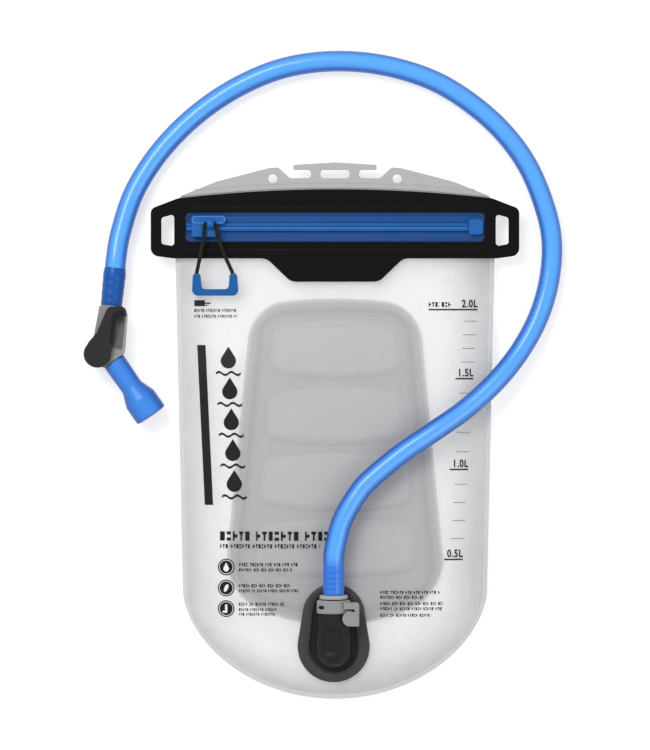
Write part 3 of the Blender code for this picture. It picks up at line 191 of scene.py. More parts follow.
def woven(paint, pitch, relief):
    """Coated woven fabric: crossing threads under a thin coat, with faint wider stripes."""
    tree = paint.node_tree
    warp, weft, stripe = [
        add_node(tree, "TexWave", "Fac", {"bands_direction": direction}, Distortion=0.6,
                 Scale=math.pi / (10.0 * spacing * MM),
                 Vector=tree.nodes["Texture Coordinate"].outputs["Object"])
        for direction, spacing in (("X", pitch), ("Y", pitch), ("X", 9.0 * pitch))]
    weave = maths(tree, "MULTIPLY", warp, weft)
    feed(tree.nodes["Mix"], Factor=weave)
    feed(tree.nodes["Bump"], Distance=relief * MM,
         Height=maths(tree, "MULTIPLY_ADD", stripe, 0.25, weave))


def blend_colour(paint, second, factor):
    """Mix the paint's colour towards a second colour by a factor from another node."""
    base = paint.node_tree.nodes["Principled BSDF"].inputs["Base Color"]
    connect(base, mixed(paint.node_tree, factor, base.links[0].from_socket, second))


def lit_from_above(paint, light, steepness):
    """Clear-walled tubing with painted light: base colour blended paler where the wall faces up,
    standing in for light that falls on it and passes through.
    """
    tree = paint.node_tree
    facing = add_node(tree, "SeparateXYZ", "Z",
                      Vector=tree.nodes["Texture Coordinate"].outputs["Normal"])
    blend_colour(paint, light, add_node(
        tree, "MapRange", "Result", {"interpolation_type": "SMOOTHSTEP"},
        From_Min=steepness[0], From_Max=steepness[1], Value=facing))


def shaded_film(paint, grey, alpha):
    """Frosted film with painted shade: greyer and denser where its shade attribute rises towards
    the welds.
    """
    tree = paint.node_tree
    painted_shade = attribute(tree, "painted_shade")
    density = add_node(tree, "MapRange", "Result", To_Min=alpha[0], To_Max=alpha[1], Value=painted_shade)
    feed(tree.nodes["Principled BSDF"], Alpha=density)
    blend_colour(paint, grey, painted_shade)


def soft_edged(paint, dark, pale, edge_colour):
    """Panel seen through frosted film: painted light and shade on its relief, and an outline that
    fades out.
    """
    tree = paint.node_tree
    base = tree.nodes["Principled BSDF"].inputs["Base Color"]
    relief = mixed(tree, attribute(tree, "painted_light"), dark, pale)
    grain = mixed(tree, 0.5, relief, base.links[0].from_socket, "MULTIPLY")
    connect(base, mixed(tree, attribute(tree, "edge"), edge_colour, grain))


def grey(value):
    return (value, value, value)


# Colour, roughness, grain and relief in mm, and mottling of every finish.
FINISHES = {
    "film": (grey(0.93), 0.34, 1.1, 0.05, 0.02),
    "back_film": (grey(0.93), 0.34, 1.1, 0.05, 0.02),
    "weld": ((0.90, 0.902, 0.905), 0.35, 1.2, 0.03, 0.02),
    "panel": (grey(0.95), 0.55, 1.6, 0.05, 0.03),
    "hanger": (grey(0.41), 0.42, 0.8, 0.03, 0.03),
    "band": (grey(0.0045), 0.60, 1.2, 0.03, 0.2),
    "coat": ((0.0055, 0.0045, 0.0045), 0.50, 0.8, 0.04, 0.10),
    "tape": ((0.007, 0.070, 0.255), 0.45, 0.7, 0.04, 0.08),
    "border": ((0.006, 0.050, 0.180), 0.45, 0.8, 0.04, 0.10),
    "zip": ((0.010, 0.110, 0.385), 0.38, 0.5, 0.02, 0.05),
    "rail": ((0.009, 0.095, 0.335), 0.38, 0.5, 0.02, 0.05),
    "rim": ((0.05, 0.24, 0.62), 0.30, 0.5, 0.01, 0.05),
    "cord": ((0.012, 0.012, 0.009), 0.80, 0.3, 0.05, 0.25),
    "grip": ((0.011, 0.105, 0.345), 0.42, 0.5, 0.02, 0.05),
    "port": (grey(0.046), 0.55, 0.5, 0.04, 0.08),
    "elbow": (grey(0.010), 0.50, 0.6, 0.02, 0.10),
    "link": ((0.27, 0.275, 0.275), 0.42, 0.5, 0.02, 0.04),
    # link ring: neutral grey, tinted blue as a painted reflection of the blue hose beside it
    "ring": ((0.34, 0.37, 0.40), 0.30, 0.5, 0.02, 0.04),
    # hose and cuff: colours of their painted shaded sides, paled in make_paints where they face up
    "hose": ((0.004, 0.100, 0.46), 0.20, 2.0, 0.02, 0.05),
    "cuff": ((0.004, 0.058, 0.27), 0.28, 1.2, 0.008, 0.03),
    "valve": ((0.26, 0.26, 0.255), 0.42, 0.5, 0.03, 0.04),
    "facet": (grey(0.105), 0.42, 2.2, 0.10, 0.25),
    "lever": (grey(0.016), 0.42, 0.5, 0.03, 0.08),
    # bite valve: colour of its painted shaded sides, paled in make_paints where it faces up
    "mouth": ((0.003, 0.080, 0.40), 0.30, 1.2, 0.01, 0.04),
    "ink": (grey(0.006), 0.45, 0.4, 0.01, 0.10),
    "white_ink": (grey(0.80), 0.45, 0.4, 0.01, 0.03),
    "dark": (grey(0.004), 0.60, 0.4, 0.02, 0.10),
    "steel": ((0.55, 0.55, 0.56), 0.30, 0.3, 0.01, 0.05),
    "seal": (grey(0.015), 0.60, 0.4, 0.02, 0.10),
}
SHINE = {"film": 0.35, "back_film": 0.35, "band": 0.07, "coat": 0.09, "hose": 0.5, "mouth": 0.4}
CLEARNESS = {"back_film": 0.20, "weld": 0.30}
PAINTS = {}


def make_paints():
    for name, finish in FINISHES.items():
        PAINTS[name] = surface(f"{name}_paint", *finish, Alpha=CLEARNESS.get(name, 1.0),
                               Specular_IOR_Level=SHINE.get(name, 0.22))
    feed(PAINTS["steel"].node_tree.nodes["Principled BSDF"], Metallic=1.0)
    woven(PAINTS["band"], 0.7, 0.10)
    # painted shade on the front film: grey 0.30 and alpha 0.20 to 0.52 as its shade rises
    shaded_film(PAINTS["film"], grey(0.30), (0.20, 0.52))
    # painted light on the form panel: grey 0.10 in the painted shade, 0.44 in the painted
    # highlights, 0.58 at the fading outline
    soft_edged(PAINTS["panel"], grey(0.10), grey(0.44), grey(0.58))
    # painted light: hose, cuff and bite valve blended paler where they face up; their FINISHES
    # colours are the painted shaded sides
    lit_from_above(PAINTS["hose"], (0.088, 0.370, 0.93), (0.52, 0.98))
    lit_from_above(PAINTS["cuff"], (0.008, 0.090, 0.36), (0.3, 0.95))
    lit_from_above(PAINTS["mouth"], (0.042, 0.230, 0.74), (0.45, 1.0))
    blend_colour(PAINTS["hose"], (0.010, 0.140, 0.66), attribute(PAINTS["hose"].node_tree, "tight"))


# ---- outlines ----
def rounded(corners, sweep=15):
    """Polygon whose corners (x, y, radius) are rounded with arcs."""
    outline = []
    count = len(corners)
    corners = [[value * MM for value in corner] for corner in corners]
    for index, (x, y, radius) in enumerate(corners):
        corner = Vector((x, y))
        before = (Vector(corners[index - 1][:2]) - corner).normalized()
        after = (Vector(corners[(index + 1) % count][:2]) - corner).normalized()
        opening = before.angle(after)
        if radius <= 0 or opening > math.radians(178):
            outline.append((x / MM, y / MM))
            continue
        reach = radius / math.tan(opening / 2)
        middle = corner + (before + after).normalized() * (radius / math.sin(opening / 2))
        first = corner + before * reach - middle
        turn = first.angle_signed(corner + after * reach - middle)
        steps = max(2, round(abs(turn) / math.radians(sweep)))
        for step in range(steps + 1):
            spoke = first.copy()
            spoke.rotate(Matrix.Rotation(-turn * step / steps, 2))
            place = middle + spoke
            outline.append((place.x / MM, place.y / MM))
    return outline


def arc(x, y, radius, start, end, steps):
    angles = [math.radians(start + (end - start) * step / steps) for step in range(steps + 1)]
    return [(x + radius * math.cos(angle), y + radius * math.sin(angle)) for angle in angles]


def mirrored(half):
    """Whole outline from its right half of (x, y, radius) corners."""
    left = [(-x, y, radius) for x, y, radius in reversed(half) if x > 0]
    return half + left


def box_outline(x_low, x_high, y_low, y_high, radius=0):
    corners = [(x_low, y_low), (x_high, y_low), (x_high, y_high), (x_low, y_high)]
    return rounded([(x, y, radius) for x, y in corners])


def egg(top_radius, top_y, low_radius, low_y, z):
    """Ring round two circles one above the other."""
    ring = []
    for cosine, sine in circle(96):
        lean = sine * (top_y - low_y) + top_radius - low_radius
        middle, radius = (top_y, top_radius) if lean > 0 else (low_y, low_radius)
        ring.append((LINK_X + radius * cosine, middle + radius * sine, z))
    return ring


def circle(count):
    """Cosine and sine of evenly spaced angles all round."""
    angles = [TURN * step / count for step in range(count)]
    return [(math.cos(angle), math.sin(angle)) for angle in angles]


def at(outline, z):
    return [(x, y, z) for x, y in outline]


# ---- meshes ----
def finish_piece(name, shape, paint, body, slot, *nodes, bevel=0, segments=3, sharp=35):
    """Turn a bmesh in mm into a piece that rides on a body and may stand for CAD nodes."""
    bmesh.ops.scale(shape, vec=(MM, MM, MM), verts=shape.verts)
    bmesh.ops.recalc_face_normals(shape, faces=shape.faces)
    mesh = bpy.data.meshes.new(name)
    shape.to_mesh(mesh)
    shape.free()
    mesh.shade_smooth()
    mesh.set_sharp_from_angle(angle=math.radians(sharp))
    mesh.materials.append(PAINTS[paint])
    piece = bpy.data.objects.new(name, mesh)
    bpy.context.collection.objects.link(piece)
    if bevel > 0:
        rounding = piece.modifiers.new("rounding", "BEVEL")
        rounding.width = bevel * MM
        rounding.segments = segments
        rounding.limit_method = "ANGLE"
        rounding.angle_limit = math.radians(35)
        rounding.harden_normals = True
    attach(piece, body)
    if nodes:
        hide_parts(*nodes)
    return piece


def thicken(shape, rise):
    """Extrude a flat or draped skin upwards into a closed sheet."""
    raised = bmesh.ops.extrude_face_region(shape, geom=shape.faces[:])["geom"]
    moved = [part for part in raised if isinstance(part, bmesh.types.BMVert)]
    bmesh.ops.translate(shape, verts=moved, vec=(0, 0, rise))
    return shape


def prism(outline, z_low, z_high, holes=()):
    """Upright solid over an outline, with holes through it."""
    shape = bmesh.new()
    for loop in [outline, *holes]:
        corners = [shape.verts.new((x * MM, y * MM, z_low * MM)) for x, y in loop]
        for index, corner in enumerate(corners):
            shape.edges.new((corners[index - 1], corner))
    bmesh.ops.triangle_fill(shape, use_beauty=True, edges=shape.edges[:])
    thicken(shape, (z_high - z_low) * MM)
    bmesh.ops.scale(shape, vec=(1 / MM, 1 / MM, 1 / MM), verts=shape.verts)
    return shape


def loft(rings, closed=False, shape=None):
    """Skin through rings of equally many points, capped or joined end to end."""
    shape = shape or bmesh.new()
    loops = [[shape.verts.new(point) for point in ring] for ring in rings]
    pairs = list(zip(loops, loops[1:]))
    if closed:
        pairs.append((loops[-1], loops[0]))
    for lower, upper in pairs:
        for index in range(len(lower)):
            shape.faces.new((lower[index - 1], lower[index], upper[index], upper[index - 1]))
    if not closed:
        shape.faces.new(loops[0])
        shape.faces.new(loops[-1])
    return shape


def turned(profile, base, axis, steps=48, closed=False):
    """Solid of revolution: (radius, height) points spun about an axis from a base point."""
    shape = bmesh.new()
    points = [shape.verts.new((radius, 0, height)) for radius, height in profile]
    edges = [shape.edges.new(pair) for pair in zip(points, points[1:])]
    if closed:
        edges.append(shape.edges.new((points[-1], points[0])))
    bmesh.ops.spin(shape, geom=points + edges, axis=UP, cent=(0, 0, 0),
                   angle=TURN, steps=steps, use_merge=True)
    bmesh.ops.remove_doubles(shape, verts=shape.verts, dist=1e-4)
    turn = UP.rotation_difference(Vector(axis)).to_matrix().to_4x4()
    bmesh.ops.transform(shape, matrix=Matrix.Translation(base) @ turn, verts=shape.verts)
    return shape


def add_shape(target, extra):
    """Append one bmesh to another."""
    mesh = bpy.data.meshes.new("joined")
    extra.to_mesh(mesh)
    extra.free()
    target.from_mesh(mesh)
    bpy.data.meshes.remove(mesh)
    return target


def smooth_path(points, spacing):
    """Evenly spaced points on a smooth curve through the given points."""
    knots = [Vector(point) for point in points]
    knots = [2 * knots[0] - knots[1], *knots, 2 * knots[-1] - knots[-2]]
    fine = []
    for a, b, c, d in zip(knots, knots[1:], knots[2:], knots[3:]):
        for step in range(24):
            t = step / 24
            fine.append(0.5 * (2 * b + (c - a) * t + (2 * a - 5 * b + 4 * c - d) * t * t
                               + (3 * b - a - 3 * c + d) * t ** 3))
    fine.append(knots[-2])
    length = sum((end - start).length for start, end in zip(fine, fine[1:]))
    pieces = round(length / spacing)
    even = [fine[0]]
    walked = 0
    for start, end in zip(fine, fine[1:]):
        step_length = (end - start).length
        while len(even) < pieces and walked + step_length >= length * len(even) / pieces:
            share = (length * len(even) / pieces - walked) / step_length
            even.append(start.lerp(end, share))
        walked += step_length
    even.append(fine[-1])
    return even


def swept(points, radius_at, around, bore=None):
    """Tube along a path. radius_at(distance, angle) gives the skin; bore makes it hollow."""
    rings = []
    inner = []
    side = UP.copy()
    walked = 0
    for index, point in enumerate(points):
        before = points[max(index - 1, 0)]
        after = points[min(index + 1, len(points) - 1)]
        along = (after - before).normalized()
        side = (side - along * side.dot(along)).normalized()
        across = along.cross(side)
        if index:
            walked += (point - before).length
        ring = []
        hole = []
        for step in range(around):
            angle = TURN * step / around
            spoke = side * math.cos(angle) + across * math.sin(angle)
            ring.append(point + spoke * radius_at(walked, angle))
            if bore:
                hole.append(point + spoke * bore)
        rings.append(ring)
        inner.append(hole)
    if bore:
        return loft(rings + inner[::-1], closed=True)
    return loft(rings)


# ---- cords ----
HOSE_RADIUS = 6.25
HOSE_BORE = 4.6
HOSE_ROUTE = [(-0.8, -97.2, 22), (-0.8, -89, 22), (-0.8, -81.4, 22),
    (-0.8, -74, 22.2), (0.8, -65.5, 23), (3.6, -55, 23.8),
    (7.9, -46, 24), (13.5, -37.2, 24), (20.5, -29, 24),
    (39, -13.6, 23.4), (58.9, -0.2, 21.6), (78.6, 13.6, 17.8),
    (96.4, 29.7, 14.4), (111.5, 48.4, 9.8), (122.9, 69.5, 6.9),
    (129.3, 92.6, 6.4), (130.3, 116.6, 6.4), (124.5, 140, 6.4),
    (114.6, 161.9, 6.4), (100.1, 181, 6.4), (82.1, 196.9, 6.4),
    (61.7, 209.6, 6.4), (39.1, 217.7, 6.4), (15.4, 221.9, 6.4),
    (-9, 222, 6.4), (-32.7, 217.8, 6.4), (-55, 208.8, 6.4),
    (-75.5, 196.3, 6.4), (-93.8, 180.8, 6.4), (-109.5, 162.5, 6.5),
    (-121.6, 141.8, 7), (-128.9, 118.9, 8.4), (-131.4, 104, 10), (-132.1, 96.9, 10.1),]
CUFF_ROUTE = [(-132, 97.8, 10.1), (-133.2, 85.9, 10.1), (-134.3, 75.2, 10.1)]
PULL_RADIUS = 1.1
PULL_ROUTE = [(-82.9, 94.2, 16.1), (-81, 103, 16.3), (-79, 113, 16.8),
    (-78.3, 118.5, 16.9), (-78.2, 122.4, 16.8), (-77.3, 123.9, 16.7),
    (-75.2, 124, 16.7), (-74, 124, 16.7), (-71.9, 123.9, 16.7),
    (-71, 122.4, 16.8), (-70.6, 118.5, 16.9), (-69.1, 113, 16.8),
    (-65.1, 103, 16.3), (-61.1, 94.2, 16.1),]


def hose_radius(distance, angle):
    """Skin of the hose: faint rings where the first stretch covers the link's barb."""
    barb = 14
    if distance > barb:
        return HOSE_RADIUS
    ripple = 0.5 + 0.5 * math.cos(TURN * distance / 3.2)
    return HOSE_RADIUS + 0.16 * ripple


def cuff_radius(distance, angle):
    """Hose stretched over the valve's barb, with the barb's ridges showing."""
    length = 21
    share = min(1, distance / 3)
    ripple = 0.5 + 0.5 * math.cos(TURN * distance / 5.2)
    taper = 0.45 * (1 - distance / length)
    return HOSE_RADIUS + 0.05 + (0.08 + taper + 0.14 * ripple) * share


def braid_radius(distance, angle):
    """Braided skin of the pull cord."""
    lay = TURN * distance / 4
    strands = math.cos(4 * angle + 4 * lay) * math.cos(4 * angle - 4 * lay)
    return PULL_RADIUS * (1 + 0.055 * strands)


def make_cords():
    """Drinking hose, its stretched end over the valve's barb, and the zip's pull cord."""
    path = smooth_path(HOSE_ROUTE, 1.1)
    skin = swept(path, hose_radius, 40, HOSE_BORE)
    tight = skin.verts.layers.float.new("tight")
    for corner in skin.verts:
        along = corner.co.y - path[0].y
        near = 1 - smooth_step((along - 14) / 10)
        ring = 0.5 + 0.5 * math.cos(TURN * along / 3.3)
        if abs(corner.co.x - path[0].x) < 12:
            corner[tight] = near * (0.70 + 0.25 * ring)
    hose = finish_piece("hose_skin", skin, "hose", "hose_set", "hose", "hose", "hose_link_sleeve")
    cuff_path = smooth_path(CUFF_ROUTE, 0.5)
    cuff = finish_piece("hose_cuff_skin", swept(cuff_path, cuff_radius, 40, HOSE_BORE),
                        "cuff", "hose_set", "hose", "hose_valve_cuff")
    pull_path = smooth_path(PULL_ROUTE, 0.35)
    pull = finish_piece("pull_cord_braid", swept(pull_path, braid_radius, 24), "cord",
                        "pull", "cord", "pull_cord")
    return (hose, path, cuff, pull, pull_path)


# ---- the bag's surfaces ----
FILM = 0.6
WELD = 3
LINK_X = -0.8
ZIP_Y = 122.3
FLANGE_TOP = (18.6, -110.4)
FLANGE_LOW = (21.6, -129)


def smooth_step(value):
    value = min(1, max(0, value))
    return value * value * (3 - 2 * value)


def side_half_width(y):
    return 91.5 + 4.3 * max(0, (y + 95.5) / 192)


def bottom_edge(across):
    return -95.5 - 65.7 * max(0, 1 - across * across) ** (1 / 1.75)


def top_edge(across):
    return 147 - 5.4 * across * across - 3.2 * across ** 16


def edge_distance(x, y, across):
    distances = [side_half_width(y) - abs(x), y - bottom_edge(across), top_edge(across) - y]
    if min(distances) < 0.01:
        return 0
    return sum(distance ** -3 for distance in distances) ** (-1 / 3)


def swell(distance, run):
    share = min(1, max(0, (distance - WELD) / run))
    return 1 - (1 - share) ** 2


def port_distance(x, y):
    share = min(1, max(0, (FLANGE_TOP[1] - y) / (FLANGE_TOP[1] - FLANGE_LOW[1])))
    middle = Vector((LINK_X, FLANGE_TOP[1] + (FLANGE_LOW[1] - FLANGE_TOP[1]) * share))
    radius = FLANGE_TOP[0] + (FLANGE_LOW[0] - FLANGE_TOP[0]) * share
    return max(0, (Vector((x, y)) - middle).length - radius)


def back_height(x, y, across):
    return 6.3 * (1 - swell(edge_distance(x, y, across), 35))


def front_height(x, y, across):
    """Underside of the front film, with the faint puckers that a weld leaves beside it."""
    distance = edge_distance(x, y, across)
    fade = smooth_step((88 - y) / 58)
    dome = (1.2 + 7.3 * fade) * swell(distance, 80)
    seat = 4.2 * swell(distance, 8)
    near_port = 1 - smooth_step(port_distance(x, y) / 45)
    flat = 7.2 + dome + (seat - dome) * near_port
    pucker = noise.noise(Vector((x / 13, y / 9, 0.7)))
    pucker += 0.5 * noise.noise(Vector((x / 5, y / 24, 3.1)))
    beside = smooth_step((distance - WELD) / 5) * (1 - smooth_step(distance / 60))
    calm = smooth_step((88 - y) / 20) * (1 - near_port)
    return flat + (0.06 + 0.22 * beside) * pucker * calm * smooth_step(distance / 8)


def film_top(x, y):
    across = x / side_half_width(y)
    return front_height(x, y, across) + FILM


def bag_point(u, v):
    """Place on the bag for u and v from -1 to 1, closer together near the edges."""
    across = math.sin(u * math.pi / 2)
    along = 0.5 + 0.5 * math.sin(v * math.pi / 2)
    low_y = bottom_edge(across)
    y = low_y + (top_edge(across) - low_y) * along
    return (across * side_half_width(y), y, across)


def film_painted_shade(x, y):
    """Amount of painted shade on the frosted film: most beside the welds and at the lower end, some
    towards the upper right, with a faint random mottle, standing in for the shading where the film
    slopes.
    """
    margin = edge_distance(x, y, x / side_half_width(y))
    reach = (36 if x > 0 else 28)
    depth = 0.49 + 0.08 * smooth_step((20 - y) / 110)
    if x > 0:
        depth += 0.08 * smooth_step(x / 60)
    beside = depth * (1 - smooth_step(margin / reach))
    upper = smooth_step((y - 78) / 26) * smooth_step((x - 30) / 50)
    mottle = noise.noise(Vector((x, y, 0)) / 7)
    return min(1, max(0, 0.12 + beside + 0.15 * upper + 0.05 * mottle))


def film_skin(height, columns, rows):
    """Thin closed sheet over the bag's outline."""
    shape = bmesh.new()
    painted_shade = shape.verts.layers.float.new("painted_shade")
    bmesh.ops.create_grid(shape, x_segments=columns, y_segments=rows, size=1)
    for corner in shape.verts:
        x, y, across = bag_point(corner.co.x, corner.co.y)
        corner.co = (x, y, height(x, y, across))
        # painted shade for this point of the film
        corner[painted_shade] = film_painted_shade(x, y)
    return thicken(shape, FILM)


def weld_strip(inset_low, inset_high, lift):
    """Flattened ribbon that runs round the bag's edge on the front film."""
    shape = bmesh.new()
    loop = []
    count = 420
    for step in range(count):
        t = 4 * step / count
        side = int(t)
        share = 2 * (t - side) - 1
        u, v = ((share, -1), (1, share), (-share, 1), (-1, -share))[side]
        x, y, across = bag_point(u, v)
        loop.append(Vector((x, y)))
    rings = []
    for index, point in enumerate(loop):
        along = (loop[(index + 1) % count] - loop[index - 1]).normalized()
        inward = Vector((-along.y, along.x))
        outer = point + inward * inset_low
        inner = point + inward * inset_high
        base = 7.8
        rings.append([(outer.x, outer.y, base - 0.1), (inner.x, inner.y, base - 0.1),
                      (inner.x, inner.y, base + lift * 0.6), (inner.x * 0.3 + outer.x * 0.7,
                      inner.y * 0.3 + outer.y * 0.7, base + lift), (outer.x, outer.y, base)])
    return loft(rings, closed=True, shape=shape)


def make_films():
    back = finish_piece("back_film_skin", film_skin(back_height, 60, 70), "back_film", "bag",
                        "film", "back_film")
    front = finish_piece("front_film_skin", film_skin(front_height, 130, 180), "film",
                         "bag", "film", "front_film")
    weld = finish_piece("film_weld_rim", weld_strip(0.3, 2.6, 0.22), "weld", "bag", "film")


# ---- form panel ----
PANEL_TOP_Y = 79.7
PANEL_BOTTOM_Y = -117


def panel_half_width(y):
    share = (PANEL_TOP_Y - y) / (PANEL_TOP_Y - (-88))
    return 50.3 + 16 * share


def panel_edge(x, y):
    """Distance inside the panel's rounded outline, whose top edge is slightly arched."""
    side = panel_half_width(y) - abs(x)
    top = PANEL_TOP_Y - 2.4 * (x / 36) ** 2 - y
    dip = 18 * (abs(x) / 60) ** 2.4
    bottom = y - PANEL_BOTTOM_Y - dip
    rounding = (19 if y > 0 else 18)
    end = top if y > 0 else bottom
    if side < rounding and end < rounding:
        return rounding - math.hypot(rounding - side, rounding - end)
    return min(side, end)


def pad_inside(x, y, number):
    """Distance inside one pad and how far up it a point lies, from -1 to 1.

    The pad's top edge is crowned, its bottom edge bows down and its sides follow the panel's.
    """
    half_length = 16.9
    middle = (65.7 - 39.8 * number) - half_length
    up = (y - middle) / half_length
    half = (38.6 + 3 * number - 1.3 * up)
    crown = (3.9 if up > 0 else 4.4) * (x / half) ** 2
    rounding = 6
    reach_x = abs(x) - half + rounding
    reach_y = abs(y - middle) - half_length + crown + rounding
    outside = math.hypot(max(reach_x, 0), max(reach_y, 0))
    return (rounding - outside - min(max(reach_x, reach_y), 0), max(-1, min(1, up)))


def panel_height(x, y):
    edge = panel_edge(x, y)
    bead = 1.4 * smooth_step(edge / 2.4) * (1 - smooth_step((edge - 4.4) / 2.6))
    field = 1.6 * smooth_step((edge - 8.4) / 3)
    total = 3.4 + bead + field
    for number in range(4):
        inside, up = pad_inside(x, y, number)
        if inside > 0:
            crown = 0.5 * smooth_step(inside / 15)
            total += 2.5 * smooth_step(inside / 3.4) + crown
    return total


def bell(value, middle, width):
    return math.exp(-((value - middle) / width) ** 2)


def panel_painted_light(x, y):
    """Painted light and shade on the relief: paler pads, darker grooves, highlights along the pads'
    top edges, shade below their lower and left edges, and darker towards the bottom, as the frosted
    film in front evens out the rest.
    """
    edge = panel_edge(x, y)
    # painted shade in the groove between the rim bead and the field
    painted_light = 0.43 - 0.34 * bell(edge, 7.4, 1.5) - 0.06 * bell(edge, 10.5, 2.5)
    for number in range(4):
        inside, up = pad_inside(x, y, number)
        if inside > -6:
            # pads painted paler, as raised faces that catch more light
            painted_light += 0.22 * smooth_step(inside / 2.6 + 0.3)
            # painted highlight along each pad's upper edge
            painted_light += 0.26 * bell(inside, 0.9, 0.9) * max(0, up) ** 3
            # painted shade just below each pad's lower edge
            painted_light -= 0.24 * bell(inside, -0.7, 1.3) * max(0, -up) ** 3
            # painted shade beside the pad's sides, on its left half and its lower half
            if x < 0 or up < 0:
                painted_light -= 0.09 * bell(inside, -0.8, 1.2) * (1 - abs(up) ** 4)
    return painted_light - 0.05 * smooth_step((-y - 20) / 90)


def make_panel():
    """Thermoformed panel: beaded rim, groove, and four crowned pads."""
    shape = bmesh.new()
    fade = shape.verts.layers.float.new("edge")
    # painted light and shade for each point of the panel
    painted_light = shape.verts.layers.float.new("painted_light")
    rows = 300
    columns = 150
    grid = []
    for row in range(rows + 1):
        v = math.sin(math.pi * (row / rows - 0.5))
        middle = (PANEL_TOP_Y + PANEL_BOTTOM_Y) / 2
        y = middle + v * (PANEL_TOP_Y - PANEL_BOTTOM_Y) / 2 * 0.9999
        reach = 0
        outer = panel_half_width(y)
        for trial in range(18):
            step = outer / 2 ** (trial + 1)
            if panel_edge(reach + step, y) > 0:
                reach += step
        grid.append([(math.sin(math.pi * (column / columns - 0.5)) * reach, y)
                     for column in range(columns + 1)])
    skins = ([], [])
    for line in grid:
        upper = []
        for x, y in line:
            top = shape.verts.new((x, y, panel_height(x, y)))
            top[fade] = smooth_step(panel_edge(x, y) / 3.2)
            top[painted_light] = panel_painted_light(x, y)
            upper.append(top)
        skins[0].append(upper)
        skins[1].append([shape.verts.new((x, y, 2.2)) for x, y in line])
    for skin in skins:
        for below, above in zip(skin, skin[1:]):
            for index in range(columns):
                shape.faces.new((below[index], below[index + 1], above[index + 1], above[index]))
    tops, bottoms = skins
    for row in range(rows):
        for column in (0, columns):
            shape.faces.new((tops[row][column], tops[row + 1][column],
                             bottoms[row + 1][column], bottoms[row][column]))
    for column in range(columns):
        for row in (0, rows):
            shape.faces.new((tops[row][column], tops[row][column + 1],
                             bottoms[row][column + 1], bottoms[row][column]))
    bmesh.ops.remove_doubles(shape, verts=shape.verts, dist=1e-4)
    finish_piece("form_panel_shell", shape, "panel", "bag", "panel", "form_panel", sharp=60)


# ---- hanger and band ----
def make_hanger():
    slot_low = 151.7
    slot_top = 156.8
    half = [(0, 161.2, 0), (25, 159.7, 0.8), (25, slot_top, 0.8),
        (14.5, slot_top, 2), (14.5, slot_low, 2), (27.1, slot_low, 2), (34, 158.2, 3),
        (39.5, 157.8, 10), (71.4, 149.6, 30), (92.7, 141, 0), (92.7, 136.5, 0)]
    holes = [box_outline(-8.7, 8.7, slot_low, slot_top, 2)]
    for side in (-1, 1):
        holes.append(arc(side * 37.4, 151.4, 2.7, 0, 350, 35))
    base = low("hanger_plate").z
    top = high("hanger_plate").z
    shape = prism(rounded(mirrored(half), 6), base, top - 0.4, holes)
    finish_piece("hanger_shell", shape, "hanger", "bag", "hanger", "hanger_plate", bevel=0.35)
    crest = half[:-1]
    for step in range(16, -1, -1):
        x = 92.7 * step / 16
        crest.append((x, band_top_y(x) + 0.8, 0))
    shape = prism(rounded(mirrored(crest), 6), base + 0.9, top, holes)
    finish_piece("hanger_upper_face", shape, "hanger", "bag", "hanger", bevel=0.35)
    rings = []
    for step in range(91):
        x = (-1 + 2 * step / 90) * 84
        y = band_top_y(x) + 4
        rings.append([(x, y - 0.45, top - 0.05), (x, y - 0.25, top + 0.2),
                      (x, y + 0.25, top + 0.2), (x, y + 0.45, top - 0.05)])
    finish_piece("hanger_weld_bead", loft(rings), "hanger", "bag", "hanger")


def band_top_y(x):
    return 145 - 5.4 * (x / 94.2) ** 2


def make_band():
    half = [(0, 145, 0)]
    for step in range(1, 8):
        x = 94.2 * step / 8
        half.append((x, band_top_y(x), 0))
    half += [(94.2, 139.6, 10), (110.6, 133.3, 4), (110.6, 105.3, 5), (97, 103.5, 10),
        (41, 103.5, 8), (26.5, 89.5, 8)]
    holes = [box_outline(-90, 90, ZIP_Y - 8.9, ZIP_Y + 8.9, 3)]
    for side in (-1, 1):
        outer = side * 104.2
        inner = side * 96.5
        holes.append(rounded([(inner, 110.8, 1.8), (outer, 112.1, 1.8),
            (outer, 128, 1.8), (inner, 130.1, 1.8)]))
    base = low("zip_band").z
    top = high("zip_band").z
    shape = prism(rounded(mirrored(half), 6), base, top, holes)
    finish_piece("zip_band_fabric", shape, "band", "bag", "band", "zip_band", bevel=0.3)
    for name, y, height in (("band_weld_lower", 108.6, 0.9), ("band_weld_upper", 134, 0.7)):
        strip = prism(box_outline(-89, 89, y - height, y + height, 0.6), top - 0.1, top + 0.12)
        finish_piece(name, strip, "coat", "bag", "band", bevel=0.1)


